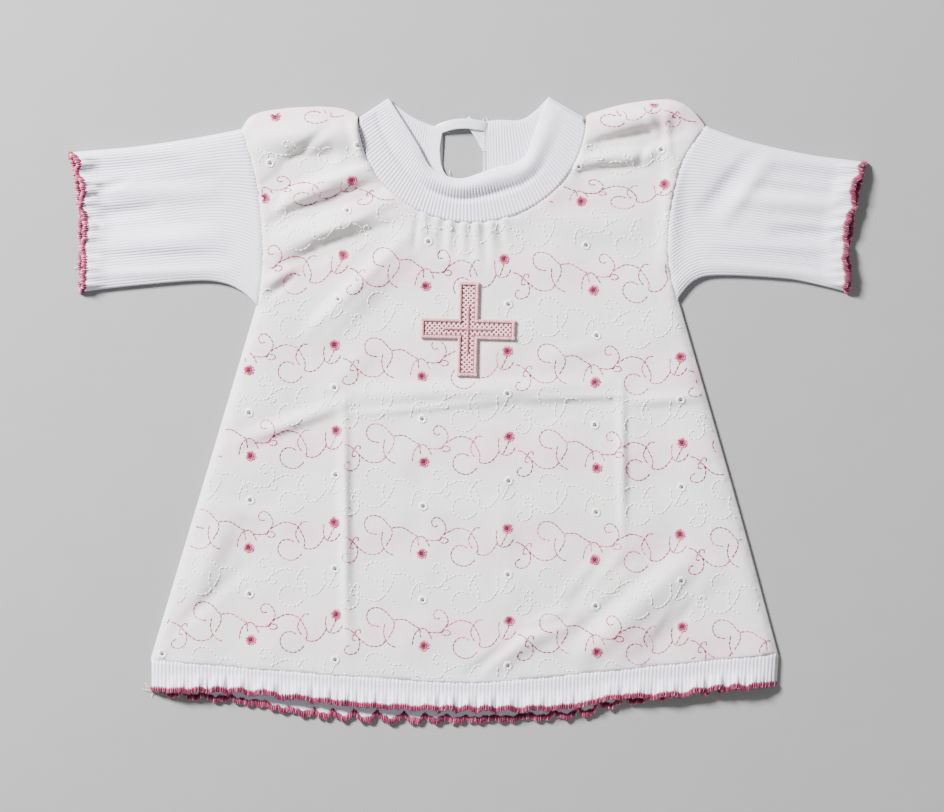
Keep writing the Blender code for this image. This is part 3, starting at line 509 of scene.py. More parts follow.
class NodeSheet:
    """The nodes of one material, with its Principled surface."""

    def __init__(self, name: str) -> None:
        """Starts a material of this name."""
        self.material = bpy.data.materials.new(name)
        self.material.use_nodes = True
        self.nodes = self.material.node_tree.nodes
        self.links = self.material.node_tree.links
        self.surface = self.nodes["Principled BSDF"]

    def node(self, kind: str, settings: dict | None = None, inputs: dict | None = None) -> bpy.types.Node:
        """Adds one node.

        Args:
            kind: Its type.
            settings: Its own settings, and a ramp's stops as pairs of place and colour.
            inputs: Values or links of its sockets, by name or number.

        Returns:
            The node.
        """
        made = self.nodes.new(kind)
        for name, value in (settings or {}).items():
            if name == "stops":
                for k, (place, colour) in enumerate(value):
                    stops = made.color_ramp.elements
                    stop = stops[k] if k < 2 else stops.new(place)
                    stop.position = place
                    stop.color = (*colour, 1)
            else:
                setattr(made, name, value)
        self.connect(made, inputs or {})
        return made

    def connect(self, node: bpy.types.Node, inputs: dict) -> None:
        """Sets or links a node's sockets."""
        for name, value in inputs.items():
            if isinstance(value, Wire):
                self.links.new(value.socket, node.inputs[name])
            elif isinstance(value, bpy.types.NodeSocket):
                self.links.new(value, node.inputs[name])
            else:
                node.inputs[name].default_value = value

    def attribute(self, name: str) -> Wire:
        """A piece's own attribute, one number a point."""
        made = self.node("ShaderNodeAttribute", {"attribute_name": name})
        return Wire(self, made.outputs["Fac"])

    def noise(self, scale: float, stretch: tuple = (1, 1, 1), detail: float = 2.0) -> Wire:
        """Noise on object coordinates, finer along the axes with the larger stretch."""
        coordinates = self.node("ShaderNodeTexCoord").outputs["Object"]
        turned = self.node("ShaderNodeMapping", {}, {"Vector": coordinates, "Scale": stretch})
        inputs = {"Vector": turned.outputs[0], "Scale": scale, "Detail": detail}
        return Wire(self, self.node("ShaderNodeTexNoise", {}, inputs).outputs[0])

    def mix(self, share: object, low: object, high: object) -> bpy.types.NodeSocket:
        """A colour between two, by a share."""
        made = self.node("ShaderNodeMix", {"data_type": "RGBA"})
        self.connect(made, {0: share, 6: colour_of(low), 7: colour_of(high)})
        return made.outputs[2]

    def ramp(self, share: Wire, stops: tuple) -> bpy.types.NodeSocket:
        """A colour from a ramp."""
        return self.node("ShaderNodeValToRGB", {"stops": stops}, {0: share}).outputs[0]

    def bump(self, height: Wire, depth: float, strength: float = 1.0) -> bpy.types.NodeSocket:
        """A normal from a height of this depth in millimetres."""
        inputs = {"Height": height, "Distance": depth * MM, "Strength": strength}
        return self.node("ShaderNodeBump", {}, inputs).outputs[0]

    def finish(self, **sockets: object) -> bpy.types.Material:
        """Sets the surface's sockets, by their names with _ for a space, and returns the material."""
        self.connect(self.surface, {name.replace("_", " "): value for name, value in sockets.items()})
        return self.material


def colour_of(value: object) -> object:
    """A plain colour with its alpha, or the link that was given."""
    return (*value, 1) if isinstance(value, tuple) else value


@dataclass(frozen=True)
class Batiste:
    """Thin white cotton with faint slubs. The blush attribute is 1 where pink thread shows through."""

    light: tuple = (0.84, 0.82, 0.81)
    shade: tuple = (0.69, 0.675, 0.67)
    pink: tuple = (0.84, 0.60, 0.68)

    def material(self) -> bpy.types.Material:
        """The cloth's material."""
        sheet = NodeSheet("batiste")
        across = sheet.noise(900, (1, 0.12, 0.3))
        down = sheet.noise(900, (0.12, 1, 0.3))
        patch = sheet.noise(60)
        share = 0.45 * across + 0.45 * down + 0.4 * patch + 0.5 * sheet.noise(16) - 0.45
        blush = sheet.attribute("blush") * (2.0 * sheet.noise(75) + 1.6 * sheet.noise(24) - 1.35)
        colour = sheet.mix(blush, sheet.mix(share, self.shade, self.light), self.pink)
        normal = sheet.bump(across + down + 1.5 * sheet.noise(260, detail=3.0), 0.10, 0.7)
        return sheet.finish(Base_Color=colour, Roughness=0.88, Normal=normal, Sheen_Weight=0.08)


@dataclass(frozen=True)
class RibKnit:
    """Cool white rib knit. The piece's rib attribute is 1 on a crest and 0 in a valley, where the darker
    valley colour is painted shade.
    """

    crest: tuple = (0.83, 0.82, 0.90)
    # Painted shade: the darker lavender colour given to the ribs' valleys
    valley: tuple = (0.49, 0.48, 0.61)

    def material(self) -> bpy.types.Material:
        """The knit's material."""
        sheet = NodeSheet("rib_knit")
        rib = sheet.attribute("rib")
        course = sheet.attribute("course")
        fuzz = sheet.noise(700, detail=3.0)
        loop = (course * (2 * math.pi)).sine()
        # Painted shade: the colour darkens from crest to valley by the rib attribute
        colour = sheet.mix(rib ** 0.8 + 0.25 * fuzz - 0.12, self.valley, self.crest)
        normal = sheet.bump(0.35 * loop * rib + fuzz, 0.14, 0.6)
        return sheet.finish(Base_Color=colour, Roughness=0.9, Normal=normal, Sheen_Weight=0.1)


@dataclass(frozen=True)
class ToneThread:
    """Embroidery or overlock thread whose tone attribute picks its colour along a ramp."""

    name: str
    stops: tuple
    roughness: float
    sheen: float

    def material(self) -> bpy.types.Material:
        """The thread's material."""
        sheet = NodeSheet(self.name)
        fibre = sheet.noise(1500, detail=2.0)
        tone = sheet.attribute("tone") + 0.16 * fibre - 0.08
        colour = sheet.ramp(tone, self.stops)
        normal = sheet.bump(fibre, 0.06, 0.5)
        return sheet.finish(
            Base_Color=colour, Roughness=self.roughness, Normal=normal, Sheen_Weight=self.sheen
        )


@dataclass(frozen=True)
class Satin:
    """White satin ribbon with fine lengthwise lines."""

    light: tuple = (0.84, 0.85, 0.88)
    shade: tuple = (0.66, 0.67, 0.72)

    def material(self) -> bpy.types.Material:
        """The ribbon's material."""
        sheet = NodeSheet("satin")
        line = sheet.attribute("across")
        weave = (line * (2 * math.pi * 14)).sine()
        colour = sheet.mix(0.3 * weave + 0.6 * sheet.noise(250) + 0.2, self.shade, self.light)
        normal = sheet.bump(weave, 0.05, 0.4)
        return sheet.finish(Base_Color=colour, Roughness=0.32, Normal=normal, Coat_Weight=0.15)


@dataclass(frozen=True)
class Backdrop:
    """A plain pale grey table top."""

    colour: tuple = (0.30, 0.30, 0.30)
    mottle: tuple = (0.285, 0.285, 0.288)

    def material(self) -> bpy.types.Material:
        """The table's material."""
        sheet = NodeSheet("table")
        colour = sheet.mix(sheet.noise(40), self.mottle, self.colour)
        grain = sheet.bump(sheet.noise(900), 0.05, 0.3)
        return sheet.finish(Base_Color=colour, Roughness=0.75, Normal=grain)


@dataclass
class Finishes:
    """Every finish, made once."""

    batiste: bpy.types.Material
    rib: bpy.types.Material
    edging: bpy.types.Material
    pink: bpy.types.Material
    white: bpy.types.Material
    lace: bpy.types.Material
    satin: bpy.types.Material
    table: bpy.types.Material

    @classmethod
    def make(cls) -> "Finishes":
        """Makes the materials."""
        edging = (
            (0.0, (0.09, 0.005, 0.03)),
            (0.35, (0.33, 0.018, 0.09)),
            (0.65, (0.54, 0.06, 0.18)),
            (1.0, (0.88, 0.48, 0.60)),
        )
        pink = (
            (0.0, (0.07, 0.003, 0.018)),
            (0.3, (0.36, 0.025, 0.10)),
            (0.6, (0.50, 0.08, 0.19)),
            (1.0, (0.74, 0.34, 0.45)),
        )
        white = (
            (0.0, (0.10, 0.10, 0.09)),
            (0.25, (0.45, 0.45, 0.43)),
            (0.5, (0.88, 0.88, 0.86)),
            (1.0, (0.95, 0.95, 0.94)),
        )
        lace = (
            (0.0, (0.11, 0.035, 0.045)),
            (0.35, (0.46, 0.14, 0.18)),
            (0.7, (0.76, 0.37, 0.41)),
            (1.0, (0.86, 0.56, 0.57)),
        )
        return cls(
            batiste=Batiste().material(),
            rib=RibKnit().material(),
            edging=ToneThread("overlock_thread", edging, 0.55, 0.1).material(),
            pink=ToneThread("pink_thread", pink, 0.75, 0.0).material(),
            white=ToneThread("white_thread", white, 0.4, 0.1).material(),
            lace=ToneThread("lace_thread", lace, 0.6, 0.1).material(),
            satin=Satin().material(),
            table=Backdrop().material(),
        )


def volume_of(points: Array, faces: list[Array]) -> float:
    """Signed volume of a closed mesh."""
    total = 0.0
    for block in faces:
        for k in range(1, block.shape[1] - 1):
            a, b, c = points[block[:, 0]], points[block[:, k]], points[block[:, k + 1]]
            total += float(np.einsum("ij,ij->i", a, np.cross(b, c)).sum())
    return total / 6


def area_of(points: Array, faces: Array) -> float:
    """Area of a set of triangles or quads."""
    total = 0.0
    for k in range(1, faces.shape[1] - 1):
        a, b, c = points[faces[:, 0]], points[faces[:, k]], points[faces[:, k + 1]]
        total += float(np.linalg.norm(np.cross(b - a, c - a), axis=1).sum()) / 2
    return total


def add_piece(
    name: str,
    points: Array,
    faces: list[Array],
    finish: bpy.types.Material,
    slot: str,
    stands_for: tuple[str, ...] = (),
    **attributes: Array,
) -> bpy.types.Object:
    """Makes one piece in metres that faces outwards, rides on the gown and stands for CAD nodes.

    Args:
        name: The piece's name.
        points: Its points, in millimetres.
        faces: Blocks of faces, each with the same number of corners.
        finish: Its material.
        slot: Not used.
        stands_for: The CAD nodes that it replaces.
        attributes: Numbers, one a point, that the finish reads.

    Returns:
        The piece.
    """
    if volume_of(points, faces) < 0:
        faces = [block[:, ::-1] for block in faces]
    mesh = bpy.data.meshes.new(name)
    mesh.from_pydata((points * MM).tolist(), [], [face for block in faces for face in block.tolist()])
    mesh.update()
    mesh.shade_smooth()
    for key, values in attributes.items():
        layer = mesh.attributes.new(key, "FLOAT", "POINT")
        layer.data.foreach_set("value", np.asarray(values, np.float32))
    mesh.materials.append(finish)
    piece = bpy.data.objects.new(name, mesh)
    bpy.context.scene.collection.objects.link(piece)
    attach(piece, "root")
    if stands_for:
        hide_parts(*stands_for)
    LOG.info("%s: %d faces", name, sum(len(block) for block in faces))
    return piece


def grid_faces(rows: int, columns: int, closed: bool = False, first: int = 0) -> Array:
    """Quads of a grid of points, row by row, whose columns may close into a loop."""
    r = np.arange(rows - 1)[:, None]
    c = np.arange(columns if closed else columns - 1)[None]
    d = (c + 1) % columns
    here, above = r * columns, (r + 1) * columns
    return np.stack([here + c, here + d, above + d, above + c], axis=-1).reshape(-1, 4) + first


def zip_loops(outer: Array, outer_shares: Array, inner: Array, inner_shares: Array) -> Array:
    """Triangles between two closed loops of different counts, matched by their shares."""
    faces = []
    i = j = 0
    while i < len(outer) or j < len(inner):
        next_outer = outer_shares[i + 1] if i + 1 < len(outer) else (1.0 if i < len(outer) else 9.0)
        next_inner = inner_shares[j + 1] if j + 1 < len(inner) else (1.0 if j < len(inner) else 9.0)
        a, b = outer[i % len(outer)], inner[j % len(inner)]
        if next_outer <= next_inner:
            faces.append((a, outer[(i + 1) % len(outer)], b))
            i += 1
        else:
            faces.append((a, inner[(j + 1) % len(inner)], b))
            j += 1
    return np.array(faces)


def panel_outline(neck: Array, step: float) -> Array:
    """A panel's outline in plan, anticlockwise from the hem's left end. neck runs left to right."""
    up = (HEM_SEAM, SIDE_RIGHT, ARMHOLE_RIGHT, SHOULDER_RIGHT)
    down = (SHOULDER_LEFT, ARMHOLE_LEFT, SIDE_LEFT)
    rise = [thinned(smooth_line(marks), step)[:-1] for marks in up]
    fall = [thinned(smooth_line(marks), step)[-2::-1] for marks in down]
    return np.vstack([*rise, neck[::-1], *fall])[:-1]


def plan_mesh(outline: Array, step: float, halvings: int) -> tuple[Array, Array]:
    """An outline filled with even triangles.

    Args:
        outline: The outline in plan, anticlockwise.
        step: How far apart the first points are.
        halvings: How many times each triangle is then cut into four.

    Returns:
        The points in plan and the triangles.
    """
    low, high = outline.min(axis=0), outline.max(axis=0)
    rows = np.arange(low[1], high[1], step * math.sqrt(0.75))
    dots = [
        np.column_stack([x, np.full(len(x), y)])
        for k, y in enumerate(rows)
        for x in [np.arange(low[0] + (k % 2) * step / 2, high[0], step)]
    ]
    grid = np.vstack(dots)
    grid = grid[inside(grid, outline)]
    grid = grid[distance_to_line(grid, np.vstack([outline, outline[:1]])) > 0.5 * step]
    plan = [Vector(p) for p in np.vstack([outline, grid])]
    made = delaunay_2d_cdt(plan, [], [list(range(len(outline)))], 1, 1e-6)
    flat, faces = np.array([tuple(p) for p in made[0]]), np.array([tuple(f) for f in made[2]])
    for _ in range(halvings):
        ends = np.sort(np.concatenate([faces[:, [0, 1]], faces[:, [1, 2]], faces[:, [2, 0]]]), axis=1)
        edges, index = np.unique(ends, axis=0, return_inverse=True)
        ab, bc, ca = index.reshape(3, -1) + len(flat)
        flat = np.vstack([flat, flat[edges].mean(axis=1)])
        a, b, c = faces.T
        quarters = ((a, ab, ca), (ab, b, bc), (ca, bc, c), (ab, bc, ca))
        faces = np.vstack([np.stack(quarter, axis=1) for quarter in quarters])
    return flat, faces


def border_of(faces: Array) -> Array:
    """The directed edges that only one triangle has."""
    ends = np.concatenate([faces[:, [0, 1]], faces[:, [1, 2]], faces[:, [2, 0]]])
    keys = ends.min(axis=1).astype(np.int64) * (faces.max() + 1) + ends.max(axis=1)
    _, first, count = np.unique(keys, return_index=True, return_counts=True)
    return ends[first[count == 1]]


@dataclass
class WovenPanel:
    """The front or the back of the body, a thin shell of woven cloth."""

    layer: Layer
    cut: tuple[float, float]
    step: float = 4.6
    cloth: float = 0.45
    turned_under: float = 0.55
    back_low: float = 0.28
    back_step: float = 7.0
    slope_step: float = 0.4
    free_from: float = 0.6
    free_to: float = 3.0
    seam_dip: float = 0.5
    rim_least: float = 0.3
    neck_points: int = 90
    slit_points: int = 20
    blush_drop: float = 9.0
    blush_reach: float = 13.0

    def outline(self) -> Array:
        """The panel's outline in plan."""
        if self.layer is Layer.FRONT:
            neck = neckline(FRONT_DROP, np.linspace(0, 1, self.neck_points))
        else:
            left = neckline(BACK_DROP, np.linspace(0, neck_share(SLIT_LEFT), self.slit_points))
            right = neckline(BACK_DROP, np.linspace(neck_share(SLIT_RIGHT), 1, self.slit_points))
            tip = np.array(SLIT_END)
            run = np.linspace(1 / self.slit_points, 1, self.slit_points)[:, None]
            down = left[-1] + (tip - left[-1]) * run
            up = tip + (right[0] - tip) * run
            neck = np.vstack([left, down, up[:-1], right])
        return panel_outline(neck, self.step)

    def blush(self, points: Array) -> Array:
        """How much pink shows through the cloth at each point: most along the pink rows."""
        x, y = points[:, 0], points[:, 1]
        rows = [row for row in ROWS if row.thread is Thread.PINK]
        off = [(y + self.blush_drop - row.height_at(x)) / self.blush_reach for row in rows]
        return np.exp(-np.min(np.square(off), axis=0))

    def normals(self, flat: Array) -> Array:
        """The outer face's unit normals: from its slopes on the front, and straight up on the back."""
        if self.layer is Layer.BACK:
            return np.tile([0.0, 0.0, 1.0], (len(flat), 1))
        steps = np.eye(2) * self.slope_step
        slopes = [DRAPE.fine_height(flat + step) - DRAPE.fine_height(flat - step) for step in steps]
        run = 2 * self.slope_step
        normal = np.column_stack([-slopes[0] / run, -slopes[1] / run, np.ones(len(flat))])
        return normal / np.linalg.norm(normal, axis=1, keepdims=True)

    def freedom(self, rim: Array) -> Array:
        """1 at the rim's points on a free edge, where the cloth turns under, and 0 along its seams."""
        if self.layer is Layer.BACK:
            return np.zeros(len(rim))
        edges = [smooth_line(m) for m in (SIDE_LEFT, SIDE_RIGHT, SHOULDER_LEFT, SHOULDER_RIGHT)]
        near = np.min([distance_to_line(rim, edge) for edge in edges], axis=0)
        return 1 - smoothstep(self.free_from, self.free_to, near)

    @staticmethod
    def way_out(flat: Array, border: Array, rim: Array) -> Array:
        """The way out from the panel in plan, at each point of its rim."""
        away = np.zeros((len(flat), 2))
        run = flat[border[:, 1]] - flat[border[:, 0]]
        for k in (0, 1):
            np.add.at(away, border[:, k], np.column_stack([run[:, 1], -run[:, 0]]))
        return away[rim] / np.linalg.norm(away[rim], axis=1, keepdims=True)

    @staticmethod
    def rim_faces(border: Array, rim: Array, count: int) -> list[Array]:
        """Quads from the outer face's rim, over the rings between, to the inner face's rim."""
        where = np.full(count, -1)
        where[rim] = np.arange(len(rim))
        a, b = where[border[:, 0]], where[border[:, 1]]
        between = [2 * count + k * len(rim) + np.arange(len(rim)) for k in range(len(HALF_ROUND))]
        levels = [rim, *between, rim + count]
        return [np.stack([hi[b], hi[a], lo[a], lo[b]], axis=1) for hi, lo in zip(levels, levels[1:])]

    def build(self, finishes: Finishes) -> tuple[bpy.types.Object, BVHTree]:
        """Makes the panel.

        Args:
            finishes: The materials.

        Returns:
            The piece, and a tree of its shown face for what lies on it, in millimetres.
        """
        front = self.layer is Layer.FRONT
        outline = self.outline()
        flat, faces = plan_mesh(outline, self.step if front else self.back_step, 1 if front else 0)
        count = len(flat)
        top = DRAPE.fine_height(flat) if front else np.full(count, self.back_low + self.cloth)
        outer = np.column_stack([flat, top])
        inner = outer - self.cloth * self.normals(flat)
        border = border_of(faces)
        rim = np.unique(border)
        away, free = self.way_out(flat, border, rim), self.freedom(flat[rim])
        inner[rim, :2] = flat[rim]
        if front:
            low = (outer[rim, 2] - self.cloth) * (1 - free) + self.turned_under * free
            outer[rim, 2] -= self.seam_dip * (1 - free)
            inner[rim, 2] = np.minimum(low, outer[rim, 2] - self.rim_least)
        middle, half = (outer[rim, 2] + inner[rim, 2]) / 2, (outer[rim, 2] - inner[rim, 2]) / 2
        rings = []
        for angle in HALF_ROUND:
            bulge = away * (half * free * math.sin(angle))[:, None]
            rings.append(np.column_stack([flat[rim] + bulge, middle + half * math.cos(angle)]))
        blocks = [faces, faces[:, ::-1] + count, *self.rim_faces(border, rim, count)]
        points = np.vstack([outer, inner, *rings])
        piece = add_piece(
            f"{self.layer.value}_panel_cloth", points, blocks, finishes.batiste, "batiste",
            (f"{self.layer.value}_panel",), blush=self.blush(points),
        )
        area = area_of(outer, faces) * MM * MM
        shown = outer if front else inner
        LOG.info("%s: %.4f square metres shown", piece.name, area)
        return piece, BVHTree.FromPolygons(shown.tolist(), faces.tolist())


@dataclass
class Tube:
    """A flattened tube of rib knit, from its seam to its wavy edge, with the overlocked edging on it."""

    name: str
    start: Array
    front_end: Array
    back_end: Array
    lower: Array
    upper: Array
    ruffle: Ruffle
    pitch: float
    place: int
    rows: int
    cut: tuple[float, float]
    edging_name: str
    knit: float = 0.8
    relief: float = 0.42
    under_relief: float = 0.16
    inset: float = 0.0
    rib_points: int = 6
    ends: float = 0.05
    rib_shade: float = 1.0
    edging_width: float = 3.8
    lag: float = 0.25
    creases: tuple[Fold, ...] = ()
    tuck: float = 0.9
    inner_tuck: float = 0.3
    tuck_reach: float = 1.3
    least_room: float = 0.2
    plain_step: float = 4.0
    fold_reach: int = 7
    lobe_roundness: float = 0.75
    least_size: float = 0.24
    size_change: float = 0.38
    small_pitch: float = 6.1
    small_rise: float = 0.26
    path_step: float = 1.2
    path_end: float = 0.002
    edge_lift: float = 0.85
    edge_room: float = 1.1
    corner_reach: float = 0.7

    def __post_init__(self) -> None:
        """Sets the rows as shares of the length, closer near the wavy edge."""
        even = np.linspace(0, 1, self.rows)
        self.shares = even + 0.25 * even * (1 - even)

    def plan(self, shares: Array, end: Array) -> Array:
        """One layer's grid in plan, whose sides bend to the tube's free edges."""
        near, far = along(self.start, shares), along(end, shares)
        lower = along(np.vstack([near[:1], self.lower[1:-1], far[:1]]), self.shares)
        upper = along(np.vstack([near[-1:], self.upper[1:-1], far[-1:]]), self.shares)
        s, t = shares[None, :, None], self.shares[:, None, None]
        net = (1 - t) * near[None] + t * far[None]
        from_lower, from_upper = lower[:, None] - net[:, :1], upper[:, None] - net[:, -1:]
        return net + (1 - s) * from_lower + s * from_upper

    def wave(self, place: Array, shift: float) -> Array:
        """An uneven row of round lobes along the edge, 0 between them and 1 on their crests."""
        turn = 1.7 * np.sin(place / 31 + 2 * shift) + 1.1 * np.sin(place / 13 + shift)
        phase = math.pi * place / self.ruffle.pitch + 0.5 * (turn + shift)
        lobe = np.abs(np.cos(phase)) ** self.lobe_roundness
        small = 0.5 + 0.5 * np.cos(2 * math.pi * place / self.small_pitch + 1.7 * turn)
        size = self.least_size + self.size_change * (1 + np.sin(place / 23 + 1.3 + 3 * shift))
        return 0.5 + (lobe - 0.5) * size + self.small_rise * (small - 0.5)

    def strength(self, plan: Array, shares: Array) -> Array:
        """How strong the wave is at each point: full on the edge and gone further back."""
        length = np.linalg.norm(plan[-1] - plan[0], axis=1)
        to_edge = (1 - self.shares)[:, None] * length[None]
        faded = smoothstep(0, self.ends, np.minimum(shares, 1 - shares))
        return (1 - smoothstep(0, self.ruffle.fall, to_edge)) * faded[None]

    def swayed(self, plan: Array, wave: Array, strength: Array, sway: float, inset: float = 0.0) -> Array:
        """The plan pushed out at the wave's crests and drawn in at its valleys."""
        outward = plan[-1] - plan[-3]
        outward = outward / np.linalg.norm(outward, axis=1, keepdims=True)
        push = (sway * (wave - 0.5) * 2 - inset) * strength
        return plan + push[..., None] * outward[None]

    def front(self, shares: Array) -> Array:
        """The front layer's outer face, whose edge arches in where the back layer's bulges out."""
        plan = self.plan(shares, self.front_end)
        strength = self.strength(plan, shares)
        place = plan[..., self.place]
        front, back = self.wave(place, 0.0), self.wave(place, self.lag)
        height = DRAPE.smooth_height(plan.reshape(-1, 2)).reshape(strength.shape)
        height = height + strength * (self.ruffle.rise * front + self.ruffle.back_rise * back)
        crease = DRAPE.folds(plan.reshape(-1, 2), self.creases).reshape(strength.shape)
        height = height + crease * np.sin(math.pi * shares)[None] ** 0.5
        return np.dstack([self.swayed(plan, front, strength, -self.ruffle.sway, self.inset), height])

    def back(self, shares: Array) -> Array:
        """The back layer's underside."""
        plan = self.plan(shares, self.back_end)
        strength = self.strength(plan, shares)
        wave = self.wave(plan[..., self.place], self.lag)
        swayed = self.swayed(plan, wave, strength, self.ruffle.back_sway)
        return np.dstack([swayed, self.ruffle.back_rise * strength * wave])

    def tucked(self, net: Array, drop: float) -> Array:
        """The net with one row before its first that runs under the panel at the seam."""
        run = net[1, :, :2] - net[0, :, :2]
        run /= np.linalg.norm(run, axis=1, keepdims=True)
        row = np.column_stack([net[0, :, :2] - self.tuck_reach * run, net[0, :, 2] - drop])
        return np.concatenate([row[None], net])

    def folds(self, top: Array, bottom: Array, neighbour: Array) -> Array:
        """Three points of a half round between the layers' edges, row by row."""
        out = top[:, :2] - neighbour[:, :2]
        out /= np.linalg.norm(out, axis=1, keepdims=True)
        middle, half = (top + bottom) / 2, (top[:, 2] - bottom[:, 2]) / 2
        ring = []
        for angle in HALF_ROUND:
            side = middle[:, :2] + out * (half * math.sin(angle))[:, None]
            ring.append(np.column_stack([side, middle[:, 2] + half * math.cos(angle)]))
        return np.stack(ring, axis=1)

    def rib_depth(self, plan: Array) -> Array:
        """How deep the ribs stand and how much painted shade their valleys get at each point: more in the
        creases' troughs than on their ridges.
        """
        crease = DRAPE.folds(plan.reshape(-1, 2), self.creases).reshape(plan.shape[:2])
        return np.clip(self.rib_shade - 0.35 * crease, 0.2, 1.2)

    def outer_net(self, fine: Array) -> tuple[Array, Array]:
        """The ribbed faces with the half rounds between them, and how much painted shade the rib's valleys
        give each point.
        """
        crest = rib_crests(len(fine), self.rib_points)
        top, bottom = self.front(fine), self.back(fine)
        depth = self.rib_depth(top[..., :2])
        top[..., 2] += self.relief * (crest - 0.5) * depth
        bottom[..., 2] += self.under_relief * (1 - crest)
        top, bottom = self.tucked(top, self.tuck), self.tucked(bottom, -self.tuck)
        bottom[0, :, 2] = np.maximum(bottom[0, :, 2], self.tuck)
        upper_fold = self.folds(top[:, -1], bottom[:, -1], top[:, -1 - self.fold_reach])
        lower_fold = self.folds(bottom[:, 0], top[:, 0], top[:, self.fold_reach])
        outer = np.concatenate([top, upper_fold, bottom[:, ::-1], lower_fold], axis=1)
        edge = np.ones((len(depth) + 1, len(HALF_ROUND)))
        # Painted shade in the rib valleys, deeper in the creases' troughs; the half rounds get none
        shade = 1 - np.vstack([depth[:1], depth]) * (1 - crest)
        under_shade = np.tile(1 - self.rib_shade * (1 - crest[::-1]), (len(shade), 1))
        return outer, np.hstack([shade, edge, under_shade, edge])

    def inner_net(self, plain: Array) -> Array:
        """The plain faces of both layers, a knit's thickness in from the outer ones."""
        under, roof = self.front(plain), self.back(plain)
        under[..., 2] -= self.knit
        roof[..., 2] += self.knit
        under[..., 2] = np.maximum(under[..., 2], roof[..., 2] + self.least_room)
        under, roof = self.tucked(under, self.inner_tuck), self.tucked(roof, -self.inner_tuck)
        return np.concatenate([under, roof[:, ::-1]], axis=1)

    @staticmethod
    def wall_faces(rows: int, around: int, inner_around: int) -> list[Array]:
        """Faces of the outside and the inside, and those that join them at both ends."""
        base = rows * around
        outer_shares = np.linspace(0, 1, around, endpoint=False)
        inner_shares = np.linspace(0, 1, inner_around, endpoint=False)
        ends = []
        for row in (0, rows - 1):
            ring = row * around + np.arange(around)
            inner_ring = base + row * inner_around + np.arange(inner_around)
            ends.append(zip_loops(ring, outer_shares, inner_ring, inner_shares))
        inner_faces = grid_faces(rows, inner_around, True, base)
        return [grid_faces(rows, around, True), inner_faces[:, ::-1], ends[0][:, ::-1], ends[1]]

    def build(self, finishes: Finishes) -> bpy.types.Object:
        """Makes the tube, with ribs on its outer faces and plain knit inside."""
        length = length_of(self.start)
        ribs = round(length / self.pitch)
        outer, rib = self.outer_net(np.linspace(0, 1, self.rib_points * ribs + 1))
        inner = self.inner_net(np.linspace(0, 1, round(length / self.plain_step) + 1))
        blocks = self.wall_faces(*outer.shape[:2], inner.shape[1])
        points = np.vstack([outer.reshape(-1, 3), inner.reshape(-1, 3)])
        line = outer[:, self.fold_reach + 1]
        steps = np.concatenate([[0], np.cumsum(np.linalg.norm(np.diff(line, axis=0), axis=1))])
        course = np.repeat(steps / COURSE, outer.shape[1])
        plain_count = len(points) - len(course)
        piece = add_piece(
            f"{self.name}_knit", points, blocks, finishes.rib, "rib_knit", (self.name,),
            rib=np.concatenate([rib.ravel(), np.full(plain_count, 0.5)]),
            course=np.concatenate([course, np.zeros(plain_count)]),
        )
        area = area_of(outer.reshape(-1, 3), blocks[0]) * MM * MM
        LOG.info("%s: %.4f square metres shown", piece.name, area)
        return piece

    def edge_path(self) -> tuple[Array, Array]:
        """The path of the edging round both layers, and the way out from the knit at each point."""
        count = round(length_of(self.front_end) / self.path_step)
        shares = np.linspace(self.path_end, 1 - self.path_end, count)
        front, back = self.front(shares)[[-1, -2]], self.back(shares)[[-1, -2]]
        front[..., 2] -= self.knit / 2
        back[..., 2] += self.edge_lift
        front[..., 2] = np.maximum(front[..., 2], back[..., 2] + self.edge_room)
        turn = np.array([[0.25], [0.5], [0.75]])
        rows = []
        for k in (0, 1):
            ends = []
            for column in (-1, 0):
                a, b = front[k, column], back[k, column]
                run = front[0, column, :2] - front[0, -3 if column else 2, :2]
                out = np.append(run / np.linalg.norm(run), 0) * self.corner_reach
                ends.append(a + (b - a) * turn + out * np.sin(math.pi * turn))
            rows.append(np.concatenate([front[k], ends[0], back[k, ::-1], ends[1][::-1]]))
        outward = rows[0] - rows[1]
        outward[:, 2] *= 0.5
        return rows[0], outward / np.linalg.norm(outward, axis=1, keepdims=True)


